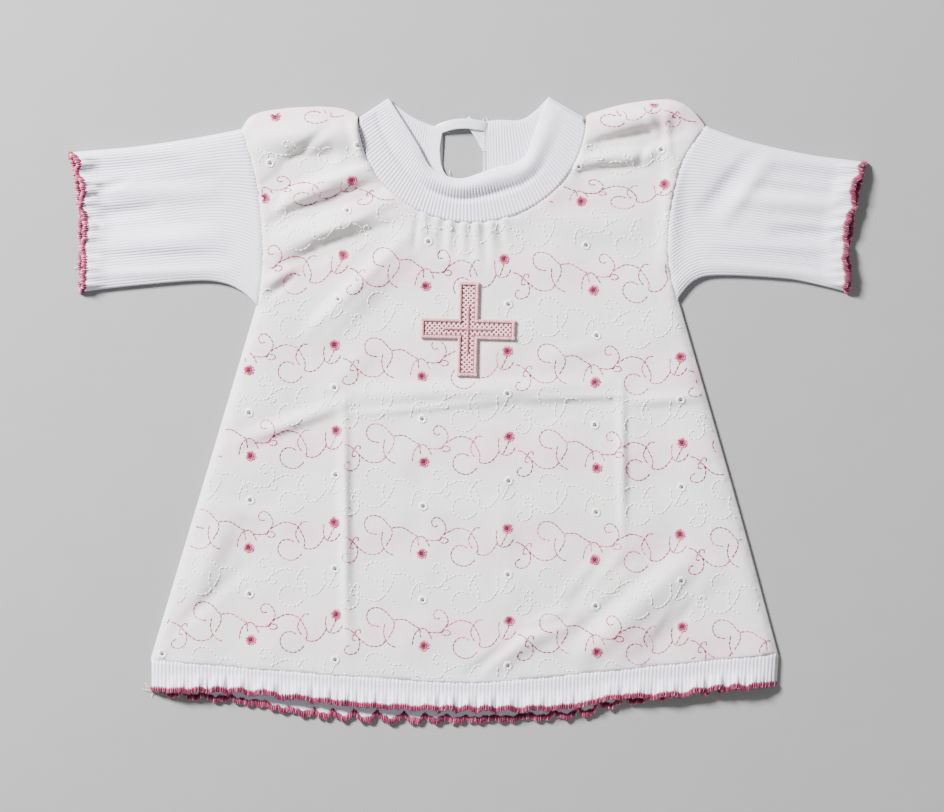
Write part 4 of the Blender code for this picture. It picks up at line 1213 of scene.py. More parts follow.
@dataclass
class Edging:
    """Overlock stitching round a wavy edge: a dark core, painted shade inside the coil, with a coil of
    variegated thread over it, lighter on each loop's outer crest as a painted highlight.
    """

    node: str
    width: float = 3.8
    thickness: float = 1.7
    overlap: float = 1.1
    pitch: float = 1.2
    thread: float = 0.47
    turn_points: int = 8
    path_window: int = 9
    way_window: int = 25
    looseness: float = 0.18
    core_width: float = 0.40
    core_thickness: float = 0.36
    core_floor: float = 0.15
    # Painted shade: the tone of the dark core inside the coil
    core_shade_tone: float = 0.12
    base_tone: float = 0.25
    dye_tone: float = 0.16
    # Painted highlight: extra tone on the outer crest of each loop
    crest_highlight_tone: float = 0.66
    tone_spread: float = 0.3
    point_gap: float = 0.9
    dye_short: float = 2.3
    dye_long: float = 17.0
    seed: int = 3

    def guide(self, path: Array, outward: Array) -> tuple[Array, Array, Array]:
        """Even points along the bead's middle, the way out from the knit and the way across the bead."""
        closed = np.vstack([path, path[:1]])
        ways = np.vstack([outward, outward[:1]])
        gone = np.concatenate([[0], np.cumsum(np.linalg.norm(np.diff(closed, axis=0), axis=1))])
        turns = round(gone[-1] / self.pitch)
        count = turns * self.turn_points
        at = gone[-1] * np.arange(count) / count
        middle, way = (
            np.stack([np.interp(at, gone, values[:, k]) for k in range(3)], axis=1)
            for values in (closed, ways)
        )
        middle, way = self.smoothed(middle, self.path_window), self.smoothed(way, self.way_window)
        way /= np.linalg.norm(way, axis=1, keepdims=True)
        run = np.roll(middle, -1, axis=0) - np.roll(middle, 1, axis=0)
        side = np.cross(way, run)
        side /= np.linalg.norm(side, axis=1, keepdims=True)
        return middle + way * (self.width / 2 - self.overlap), way, side

    def core(self, centre: Array, way: Array, side: Array) -> tuple[Array, Array]:
        """The dark tube inside the coil, painted shade in the coil's hollow, as points and faces."""
        ring = np.radians(np.arange(0, 360, 60))
        reach = self.core_width * self.width * np.cos(ring)
        rise = self.core_thickness * self.thickness * np.sin(ring)
        core = centre[:, None] + way[:, None] * reach[:, None] + side[:, None] * rise[:, None]
        core[..., 2] = np.maximum(core[..., 2], self.core_floor)
        return core.reshape(-1, 3), closed_tube_faces(len(core), len(ring))

    def build(self, path: Array, outward: Array, finishes: Finishes) -> bpy.types.Object:
        """Makes the edging round a closed path.

        Args:
            path: The path along the knit's edge.
            outward: The way out from the knit at each point.
            finishes: The materials.

        Returns:
            The piece.
        """
        centre, way, side = self.guide(path, outward)
        count, turns = len(centre), len(centre) // self.turn_points
        rng = np.random.default_rng(self.seed)
        loose = np.repeat(rng.uniform(1 - self.looseness, 1 + self.looseness, turns), self.turn_points)
        angle = 2 * math.pi * np.arange(count) / self.turn_points
        reach = way * (self.width / 2 * loose * np.cos(angle))[:, None]
        coil = centre + reach + side * (self.thickness / 2 * np.sin(angle))[:, None]
        coil[:, 2] = np.maximum(coil[:, 2], self.thread)
        points, faces = thread_tube(coil, self.thread, 3)
        gone_by = np.arange(count) * self.point_gap
        dye = np.sin(gone_by / self.dye_short + 2.2 * np.sin(gone_by / self.dye_long))
        tone = self.base_tone + self.dye_tone * dye
        # Painted highlight on the outer crest of each loop
        tone += self.crest_highlight_tone * np.clip(np.cos(angle), 0, 1) ** 2
        tone += np.repeat(rng.uniform(-self.tone_spread, self.tone_spread, turns), self.turn_points)
        slow = slice(None, None, self.turn_points)
        core, core_faces = self.core(centre[slow], way[slow], side[slow])
        # The core's dark tone is painted shade inside the coil
        tones = np.concatenate([np.repeat(np.clip(tone, 0, 1), 3), np.full(len(core), self.core_shade_tone)])
        return add_piece(
            f"{self.node}_thread", np.vstack([points, core]), [faces, core_faces + len(points)],
            finishes.edging, "edging_thread", (self.node,), tone=tones,
        )

    @staticmethod
    def smoothed(values: Array, window: int) -> Array:
        """A closed run of values, each the mean of its neighbours."""
        half = window // 2
        return np.mean([np.roll(values, k, axis=0) for k in range(-half, half + 1)], axis=0)


def closed_tube_faces(rings: int, sides: int) -> Array:
    """Quads of a tube whose rings close on themselves."""
    r, c = np.arange(rings)[:, None], np.arange(sides)[None]
    s, d = (r + 1) % rings, (c + 1) % sides
    return np.stack([r * sides + c, r * sides + d, s * sides + d, s * sides + c], axis=-1).reshape(-1, 4)


def thread_tube(path: Array, radius: float, sides: int) -> tuple[Array, Array]:
    """A thin tube round a closed path."""
    run = np.roll(path, -1, axis=0) - np.roll(path, 1, axis=0)
    run /= np.linalg.norm(run, axis=1, keepdims=True)
    across = np.cross(run, [0.31, 0.17, 0.93])
    across /= np.linalg.norm(across, axis=1, keepdims=True)
    over = np.cross(run, across)
    ring = 2 * math.pi * np.arange(sides) / sides
    points = path[:, None] + radius * (
        across[:, None] * np.cos(ring)[None, :, None] + over[:, None] * np.sin(ring)[None, :, None]
    )
    return points.reshape(-1, 3), closed_tube_faces(len(path), sides)


@dataclass
class NeckBand:
    """The doubled rib neck band, one wall from the back slit's left side round to its right side."""

    fold_height: float = 2.35
    radius: float = 2.3
    inner: float = 0.35
    front_ribs: int = 88
    back_ribs: int = 26
    relief: float = 0.42
    roll_rise: float = 3.0
    roll_middle: float = 0.82
    roll_half_width: float = 0.30
    crease_depth: float = 1.5
    crease_middle: float = 0.52
    crease_half_width: float = 0.11
    bow_heights: tuple[float, ...] = (0, 0.18, 0.55, 1)
    bow_reaches: tuple[float, ...] = (4.5, 0, -1.8, 0.3)
    bow_share: float = 0.24
    end_inset: float = 2.35
    hem_reach: float = 1.4
    hem_inset: float = 1.2
    flatness: float = 0.9
    further: float = 0.24
    inner_relief: float = 0.7
    inner_rows: int = 9
    low_left: Mark = Mark(-68.8, 186.6)
    peak_left: Mark = Mark(-51.0, 198.4)
    low_right: Mark = Mark(74.8, 186.4)
    peak_right: Mark = Mark(52.9, 199.5)
    line_points: int = 120
    back_lean: float = 0.5
    rib_points: int = 6
    rows: int = 26
    smooth_from: float = 0.52
    smooth_to: float = 0.74
    cut: tuple[float, float] = (0.380, 0.040)

    def columns(self) -> list[tuple]:
        """Low and high plan points, the way the fold leans, its turn, the rib's crest and the share."""
        left = np.array([self.low_left, self.peak_left])
        right = np.array([self.low_right, self.peak_right])
        ways = []
        for (low, peak), sign in ((left, 1), (right, -1)):
            run = peak - low
            way = np.array([run[1], -run[0]]) * sign
            ways.append(way / np.linalg.norm(way))
        left, right = left + self.end_inset * ways[0], right + self.end_inset * ways[1]
        front_low = neckline(FRONT_DROP, np.linspace(0.03, 0.97, self.line_points), SEAM_GAP)
        front_low = np.vstack([left[:1], front_low, right[:1]])
        front_high = smooth_line((tuple(left[1]),) + NECK_TOP_FRONT[1:-1] + (tuple(right[1]),))
        back = neckline(BACK_DROP, np.linspace(0.04, 0.96, self.line_points), SEAM_GAP)
        back_left = np.vstack([left[:1], back[back[:, 0] < SLIT_LEFT]])
        back_right = np.vstack([back[back[:, 0] > SLIT_RIGHT], right[:1]])
        high_left = smooth_line(NECK_TOP_BACK_LEFT[:-1] + (tuple(left[1]),))
        high_right = smooth_line((tuple(right[1]),) + NECK_TOP_BACK_RIGHT[1:])
        found: list[tuple] = []

        def run_of(low: Array, high: Array, ribs: int, turn: float, leans: int = 0) -> None:
            """Adds one run's columns, the back's leaning towards the slit at its start or its end."""
            shares = np.linspace(0, 1, self.rib_points * ribs + 1)
            bent = shares + leans * (1 - self.back_lean) * shares * (1 - shares)
            crest = rib_crests(len(shares), self.rib_points)
            for a, b, c, s in zip(along(low, bent), along(high, shares), crest, shares):
                found.append((a, b, np.zeros(2), turn, c, s))

        def fold_at(edge: Array, way: Array, angles: object) -> None:
            """Adds the columns of one folded end."""
            for angle in angles:
                found.append((edge[0], edge[1], -way, angle, 0.5 + 0.5 * math.cos(angle / 6), 0.0))

        run_of(back_left[::-1], high_left, self.back_ribs, 180.0, -1)
        fold_at(left, ways[0], range(160, 10, -20))
        run_of(front_low, front_high, self.front_ribs, 0.0)
        fold_at(right, ways[1], range(20, 170, 20))
        run_of(back_right[::-1], high_right, self.back_ribs, 180.0, 1)
        return found

    def net(self) -> tuple[Array, Array]:
        """A ring of points round the wall for each column, and how much painted shade each point's rib valley
        gives it.
        """
        low, high, way, turn, crest, share = (np.array(v, float) for v in zip(*self.columns()))
        height = np.linalg.norm(high - low, axis=1)
        sway, up = np.sin(np.radians(turn)), np.cos(np.radians(turn))
        front = (turn == 0).astype(float)
        left = (1 - front) * (way[:, 0] == 0) * (low[:, 0] < 0)
        bow = left * (1 - smoothstep(0, self.bow_share, share))

        def ring(v: Array, radius: Array, rise: Array) -> Array:
            """One ring of points round the whole band, at a share of its height."""
            plan = low + (high - low) * v[:, None] + way * (radius * sway)[:, None]
            plan[:, 0] += bow * np.interp(v, self.bow_heights, self.bow_reaches)
            return np.column_stack([plan, self.fold_height + radius * up + rise * up])

        def lift(v: float) -> Array:
            """The roll and the crease of the front at a share of its height."""
            roll = hump(abs(v - self.roll_middle), self.roll_half_width)
            crease = hump(abs(v - self.crease_middle), self.crease_half_width)
            fade = 1 - smoothstep(0.55, 0.85, share) * 0.9
            ends = np.sin(math.pi * share) ** 0.6
            return front * ends * (self.roll_rise * roll - self.crease_depth * crease * fade)

        ones = np.ones(len(low))
        rings = [ring(-self.hem_reach / height, (self.radius - self.hem_inset) * ones, 0 * ones)]
        ribs = [crest]
        slit_end = self.flatness * left * (1 - smoothstep(0.14, 0.34, share))
        further = self.further * (1 - smoothstep(0.4, 0.7, share))
        for v in np.linspace(0, 1, self.rows):
            smooth = smoothstep(self.smooth_from + further, self.smooth_to + further, v)
            faint = (1 - self.flatness * front * smooth) * (1 - slit_end)
            rings.append(ring(v * ones, self.radius * ones, lift(v) + self.relief * (crest - 0.5) * faint))
            # Painted shade in the rib valleys, faint where the ribs are smoothed
            ribs.append(1 - (1 - crest) * faint)
        middle, half = (self.radius + self.inner) / 2, (self.radius - self.inner) / 2
        for angle in np.radians((40, 90, 140)):
            over = 1 + half * math.sin(angle) / height
            rings.append(ring(over, (middle + half * math.cos(angle)) * ones, lift(1.0)))
            ribs.append(1 - (1 - crest) * faint)
        for v in np.linspace(1, 0, self.inner_rows):
            faint = 1 - slit_end
            rise = lift(v) * 0.9 - self.inner_relief * self.relief * (crest - 0.5) * faint
            rings.append(ring(v * ones, self.inner * ones, rise))
            ribs.append(1 - (1 - crest) * faint)
        net = np.stack(rings, axis=1)
        net[..., 2] = np.maximum(net[..., 2], 0.0)
        return net, np.stack(ribs, axis=1)

    def build(self, finishes: Finishes) -> bpy.types.Object:
        """Makes the band."""
        net, ribs = self.net()
        count, sides = net.shape[:2]
        faces = grid_faces(count, sides, True)
        ends = [np.arange(sides)[None], (count - 1) * sides + np.arange(sides)[None, ::-1]]
        gone = np.cumsum(np.linalg.norm(np.diff(net, axis=1, prepend=net[:, :1]), axis=2), axis=1)
        blocks = [faces[:, ::-1], ends[0], ends[1]]
        piece = add_piece(
            "neckband_knit", net.reshape(-1, 3), blocks, finishes.rib, "rib_knit", ("neckband",),
            rib=ribs.ravel(), course=gone.ravel() / COURSE,
        )
        area = area_of(net.reshape(-1, 3), faces) / 2 * MM * MM
        LOG.info("%s: %.4f square metres shown", piece.name, area)
        return piece


@dataclass
class EndOverlock:
    """White overlock stitching over the cut end of the band, on the right of the back slit."""

    x: float = 11.1
    low_y: float = 148.5
    high_y: float = 182.6
    middle_z: float = 1.25
    half_width: float = 1.15
    half_height: float = 1.35
    pitch: float = 1.25
    thread: float = 0.26
    turn_points: int = 8
    back_points: int = 6
    seed: int = 8

    def build(self, finishes: Finishes) -> bpy.types.Object:
        """Makes a coil over the end, whose thread returns through its middle."""
        rng = np.random.default_rng(self.seed)
        turns = round((self.high_y - self.low_y) / self.pitch)
        count = self.turn_points * turns
        loose = np.repeat(rng.uniform(0.85, 1.2, turns), self.turn_points)
        angle = 2 * math.pi * np.arange(count) / self.turn_points
        y = np.linspace(self.low_y, self.high_y, count)
        x = self.x - self.half_width * loose * np.cos(angle)
        z = np.maximum(self.middle_z + self.half_height * np.sin(angle), self.thread)
        coil = np.column_stack([x, y, z])
        down = np.linspace(self.high_y, self.low_y, self.back_points)
        back = np.column_stack([np.full_like(down, self.x), down, np.full_like(down, self.middle_z)])
        points, faces = thread_tube(np.vstack([coil, back]), self.thread, 4)
        tone = rng.uniform(0.6, 1.0, len(points))
        return add_piece("slit_end_overlock", points, [faces], finishes.white, "rib_knit", tone=tone)


@dataclass
class LooseThreads:
    """A few thread ends that stick out at the corners of the edgings and of the slit."""

    radius: float = 0.16
    bend: float = 0.9
    droop: float = 0.6
    points: int = 9
    starts: tuple = (
        (-202.5, -179.5, 1.6, 200, 5.5),
        (-201.0, -180.5, 1.4, 235, 4.5),
        (-203.0, -178.0, 1.8, 165, 4.0),
        (-247.5, 91.5, 2.0, 178, 4.5),
        (10.8, 183.0, 1.8, 120, 3.0),
        (12.5, 184.0, 1.8, 75, 3.2),
        (-13.6, 177.0, 1.9, 20, 2.4),
        (-11.8, 149.8, 1.6, 60, 3.2),
    )

    def build(self, finishes: Finishes) -> bpy.types.Object:
        """Makes each as a thin bent tube, joined into one piece."""
        blocks, points, first = [], [], 0
        for k, (x, y, z, turn, length) in enumerate(self.starts):
            share = np.linspace(0, 1, self.points)
            bend = math.radians(turn) + self.bend * share * (1 if k % 2 else -1)
            step = np.column_stack([np.cos(bend), np.sin(bend)]) * length / self.points
            out = np.cumsum(step, axis=0)
            there = np.column_stack([x + out[:, 0], y + out[:, 1], z - self.droop * z * share])
            ring, faces = thread_tube(np.vstack([there, there[::-1] - [0, 0, 0.12]]), self.radius, 4)
            points.append(ring)
            blocks.append(faces + first)
            first += len(ring)
        return add_piece(
            "loose_threads", np.vstack(points), blocks, finishes.white, "edging_thread",
            tone=np.full(first, 0.9),
        )


class Section(NamedTuple):
    """The middle of a ribbon at one place along it."""

    x: float
    y: float
    z: float


@dataclass
class Ribbon:
    """One strand of the satin tie at the back of the neck."""

    node: str
    sections: tuple[Section, ...]
    width: float = 6.4
    thickness: float = 0.4
    curl: float = 0.5

    def build(self, finishes: Finishes) -> bpy.types.Object:
        """Makes the strand, curled a little across its width."""
        middle = smooth_line(self.sections, 8)
        run = np.gradient(middle, axis=0)[:, :2]
        run /= np.linalg.norm(run, axis=1, keepdims=True)
        side = np.column_stack([-run[:, 1], run[:, 0]])
        shares = np.linspace(-0.5, 0.5, 9)
        plan = middle[:, None, :2] + side[:, None] * self.width * shares[None, :, None]
        place = np.linspace(0, 1, len(middle))[:, None]
        crown = self.curl * (0.25 - shares**2)[None] * (1 + 0.5 * np.sin(9 * place))
        top = np.dstack([plan, middle[:, None, 2] + self.thickness / 2 + crown])
        bottom = top - [0, 0, self.thickness]
        net = np.concatenate([top, bottom[:, ::-1]], axis=1)
        count, around = net.shape[:2]
        ends = [np.arange(around)[None], (count - 1) * around + np.arange(around)[None, ::-1]]
        across = np.concatenate([shares, shares[::-1]])
        return add_piece(
            f"{self.node}_ribbon", net.reshape(-1, 3), [grid_faces(count, around, True)[:, ::-1], *ends],
            finishes.satin, "ribbon", (self.node,), across=np.tile(across, count),
        )


@dataclass
class Stitches:
    """Many short straight stitches in one thread, each lying on the cloth, joined into one piece."""

    width: float
    height: float
    starts: list
    ends: list
    widths: list
    tones: list
    end_sink: float = 0.05
    side_sink: float = 0.03
    shoulders: tuple[float, float] = (0.18, 0.82)

    @classmethod
    def empty(cls, width: float, height: float) -> "Stitches":
        """No stitches yet."""
        return cls(width, height, [], [], [], [])

    def add(self, start: Array, end: Array, tone: float, width: float | None = None) -> None:
        """Adds one stitch between two plan points."""
        self.starts.append(start)
        self.ends.append(end)
        self.tones.append(tone)
        self.widths.append(width or self.width)

    @staticmethod
    def lying(plan: Array, lift: float, cloth: BVHTree, sign: float) -> Array:
        """Plan points laid on the cloth and lifted off it, with no height where there is no cloth."""
        heights = []
        for x, y in plan:
            hit = cloth.ray_cast((x, y, RAY_START * sign), (0, 0, -sign))[0]
            heights.append(hit.z if hit else np.nan)
        return np.column_stack([plan, np.array(heights) + sign * lift])

    def mesh(self, cloth: BVHTree, layer: Layer) -> tuple[Array, Array, Array]:
        """The stitches laid on the cloth.

        Args:
            cloth: The cloth's face, in millimetres.
            layer: Which side they are sewn on.

        Returns:
            Points, faces of three corners, and a tone for each point.
        """
        a, b = np.array(self.starts), np.array(self.ends)
        width, tone = np.array(self.widths), np.array(self.tones)
        run = b - a
        run /= np.maximum(np.linalg.norm(run, axis=1, keepdims=True), 1e-6)
        side = np.column_stack([-run[:, 1], run[:, 0]])
        sign = 1.0 if layer is Layer.FRONT else -1.0
        half = side * (width / 2)[:, None]
        corners = [(a, -self.end_sink)]
        for share in self.shoulders:
            middle = a + (b - a) * share
            corners += [
                (middle - half, -self.side_sink), (middle, self.height), (middle + half, -self.side_sink),
            ]
        corners.append((b, -self.end_sink))
        points = np.stack([self.lying(plan, lift, cloth, sign) for plan, lift in corners], axis=1)
        whole = np.isfinite(points).all(axis=(1, 2))
        points = points[whole]
        pattern = np.array(
            [
                (0, 2, 1), (0, 3, 2), (0, 1, 3), (1, 2, 5), (1, 5, 4), (2, 3, 6), (2, 6, 5),
                (3, 1, 4), (3, 4, 6), (4, 5, 7), (5, 6, 7), (6, 4, 7),
            ]
        )
        faces = (pattern[None] + 8 * np.arange(len(points))[:, None, None]).reshape(-1, 3)
        return points.reshape(-1, 3), faces, np.repeat(tone[whole], 8)


# One repeat of the embroidery, charted in millimetres from the middle of its upright flower
STRANDS = (
    (
        (27.5, -7.5), (22, -6.5), (19.5, -3), (19.5, 1), (22, 4), (26.5, 4.5), (31, 2.5), (34.5, -1.5),
        (36.5, -3.5),
    ),
    ((36.5, -3.5), (43.5, -3), (49, -6.5), (53.5, -9)),
    ((36.5, -3.5), (37, -8), (34.5, -12.5), (33, -15)),
    ((31, -5.5), (30, -11), (31.5, -16.5), (34.5, -19.5), (38, -21)),
    ((53.5, -9), (50.5, -11.5), (49, -15.5), (48.5, -19.5)),
    ((53.5, -9), (53.5, -13), (54, -15)),
    ((53.5, -9), (57, -9), (59.5, -12.5), (61, -15.5)),
    (
        (58, -11), (66, -11.5), (69.5, -8), (73, -6), (78.5, -3.5), (84, -4.5), (87.5, -6.5), (90, -11),
        (92, -15.5), (91, -20),
    ),
    ((69.5, -8), (71.5, -5), (71, -1.5), (68.5, 2), (65.5, 3.5), (62.5, 2), (62, -1), (64, -3), (66.5, -2)),
    ((66.5, -12), (69.5, -9.5), (73.5, -11), (71, -13.5), (67.5, -12.5)),
    ((85, -16.5), (81.5, -14.5), (77, -15.5), (74.5, -20), (76, -25), (81.5, -28), (86.5, -27), (90, -23.5)),
    ((88.5, -17), (86, -13), (86, -9.5), (90, -3.5), (93.5, -3.5)),
    ((91, -20), (94.5, -21), (98.5, -20), (102, -16.5), (104.5, -12.5)),
    ((-6.5, -0.5), (-7, -5), (-6, -10.5), (-2.5, -12), (1.5, -10.5), (4, -6.5)),
    ((0, -2.5), (-1.5, -6), (-4, -11)),
    ((5, -8.5), (8.5, -9.5), (11.5, -12)),
    ((11.5, -12), (13, -9.5), (16, -10), (15, -12)),
    ((11.5, -12), (10, -14), (10.5, -17), (12.5, -16)),
    ((11.5, -12), (14.5, -15.5), (15, -19.5), (13, -24), (8.5, -25.5), (5, -24), (6, -20), (8.5, -19.5)),
    ((11.5, -12), (16.5, -17), (21, -20), (28, -20), (31.5, -16.5)),
)
FLOWERS = (Mark(0, 0), Mark(56, -20))
REPEAT = 110.6
REPEAT_START = -84.4


class Row(NamedTuple):
    """One row of the chart: where it starts, how it slopes, and how far gathers flatten it."""

    thread: Thread
    height: float
    tilt: float = -0.035
    squeeze: float = 1.0

    def height_at(self, x: object) -> object:
        """The row's height at a place across the gown."""
        return self.height + self.tilt * (x - REPEAT_START)


ROWS = (
    Row(Thread.PINK, 198.0, -0.01, 0.6),
    Row(Thread.WHITE, 168.0, -0.01, 0.6),
    Row(Thread.PINK, 145.8, -0.01, 0.6),
    Row(Thread.WHITE, 126.9, -0.02),
    Row(Thread.PINK, 98.6, -0.025),
    Row(Thread.WHITE, 70.2, -0.03),
    Row(Thread.PINK, 40.9),
    Row(Thread.WHITE, 13.6),
    Row(Thread.PINK, -13.9),
    Row(Thread.WHITE, -42.2),
    Row(Thread.PINK, -72.6),
    Row(Thread.WHITE, -102.2),
    Row(Thread.PINK, -131.5),
    Row(Thread.WHITE, -160.4),
)


@dataclass
class Embroidery:
    """Rows of vines and flowers in pink and in white thread over one panel."""

    layer: Layer
    stitch: float = 3.1
    margin: float = 1.3
    petals: int = 20
    ring_inner: float = 1.9
    ring_outer: float = 3.7
    white_inner: float = 1.1
    white_outer: float = 3.2
    petal_width: float = 1.15
    heart_inner: float = 0.7
    heart_outer: float = 2.9
    heart_width: float = 0.95
    pull: float = 0.13
    pull_from: float = 62.0
    pull_side: float = 30.0
    drift: float = 0.28
    jitter: float = 0.12
    cross_half_bar: float = 7.3
    cross_reach: float = 31.1
    seed: int = 11

    def build(self, cloth: BVHTree, outline: Array, finishes: Finishes) -> None:
        """Makes one piece of pink and one of white stitches on the cloth."""
        rng = np.random.default_rng(self.seed)
        for thread in Thread:
            pink = thread is Thread.PINK
            stitches = Stitches.empty(0.82 if pink else 0.92, 0.36 if pink else 0.5)
            for k, row in enumerate(ROWS):
                for turn in range(-2, 3):
                    if row.thread is thread:
                        x = REPEAT_START + REPEAT * turn + 0.7 * math.sin(k * 1.7)
                        self.repeat(stitches, np.array([x, row.height_at(x)]), row, rng)
            self.trim(stitches, outline)
            points, faces, tone = stitches.mesh(cloth, self.layer)
            if self.layer is Layer.BACK:
                points[:, 2] = np.maximum(points[:, 2], 0.0)
            finish = finishes.pink if pink else finishes.white
            slot = "edging_thread" if pink else "batiste"
            add_piece(f"{thread.value}_stitches_{self.layer.value}", points, [faces], finish, slot, tone=tone)

    def drawn_in(self, plan: Array) -> Array:
        """Points of the chart drawn towards the neck, as the gathers draw the cloth of the yoke."""
        x, y = plan.T
        inward = self.pull * np.maximum(y - self.pull_from, 0) * np.tanh(x / self.pull_side)
        return np.column_stack([x - inward, y])

    def repeat(self, stitches: Stitches, origin: Array, row: Row, rng: np.random.Generator) -> None:
        """Adds one repeat of the motif."""
        pink = row.thread is Thread.PINK
        flat = np.array([1.0, row.squeeze])
        for strand in STRANDS:
            line = self.drawn_in(smooth_line(strand, 10) * flat + origin)
            count = max(1, round(length_of(line) / self.stitch))
            base, phase = rng.uniform(0.15, 0.6), rng.uniform(0, 6)
            for k in range(count):
                start, end = along(line, np.array([k - 0.02, k + 1.0]) / count)
                jitter = rng.uniform(-self.jitter, self.jitter, 2)
                drift = self.drift * math.sin(0.55 * k + phase) + rng.uniform(-0.2, 0.2)
                tone = np.clip(base + drift, 0.1, 1) if pink else rng.uniform(0.8, 1.0)
                stitches.add(start + jitter, end - jitter, tone)
        for flower in FLOWERS:
            centre = self.drawn_in((np.array(flower) * flat + origin)[None])[0]
            near = self.ring_inner if pink else self.white_inner
            far = self.ring_outer if pink else self.white_outer
            for k in range(self.petals):
                angle = 2 * math.pi * (k + rng.uniform(-0.2, 0.2)) / self.petals
                way = np.array([math.cos(angle), math.sin(angle)])
                reach = far * rng.uniform(0.86, 1.12)
                tone = rng.uniform(0.5, 0.95) if pink else rng.uniform(0.8, 1.0)
                stitches.add(centre + way * near, centre + way * reach, tone, self.petal_width)
                if pink:
                    start, end = centre + way * self.heart_inner, centre + way * self.heart_outer
                    stitches.add(start, end, rng.uniform(0.1, 0.4), self.heart_width)
            # Painted shade: three dark stitches at each flower's middle stand for the shaded eyelet hole
            for angle in (0.0, 1.05, 2.1):
                way = np.array([math.cos(angle), math.sin(angle)]) * (0.9 if pink else 1.1)
                stitches.add(centre - way, centre + way, 0.0, 1.3 if pink else 1.5)

    def trim(self, stitches: Stitches, outline: Array) -> None:
        """Drops the stitches past the panel's edge or under the cross."""
        closed = np.vstack([outline, outline[:1]])
        keep = np.ones(len(stitches.starts), bool)
        for ends in (stitches.starts, stitches.ends):
            ends = np.array(ends)
            keep &= inside(ends, outline) & (distance_to_line(ends, closed) > self.margin)
            if self.layer is Layer.FRONT:
                u, v = cross_axes(ends)
                near, far = np.minimum(abs(u), abs(v)), np.maximum(abs(u), abs(v))
                keep &= ~((near < self.cross_half_bar) & (far < self.cross_reach))
        for name in ("starts", "ends", "widths", "tones"):
            values = getattr(stitches, name)
            setattr(stitches, name, [value for value, kept in zip(values, keep) if kept])


def cross_axes(points: Array) -> tuple[Array, Array]:
    """Places along the cross's two bars."""
    x, y = points[:, 0] - CROSS_MIDDLE.x, points[:, 1] - CROSS_MIDDLE.y
    cosine, sine = math.cos(CROSS_TURN), math.sin(CROSS_TURN)
    return x * cosine + y * sine, y * cosine - x * sine


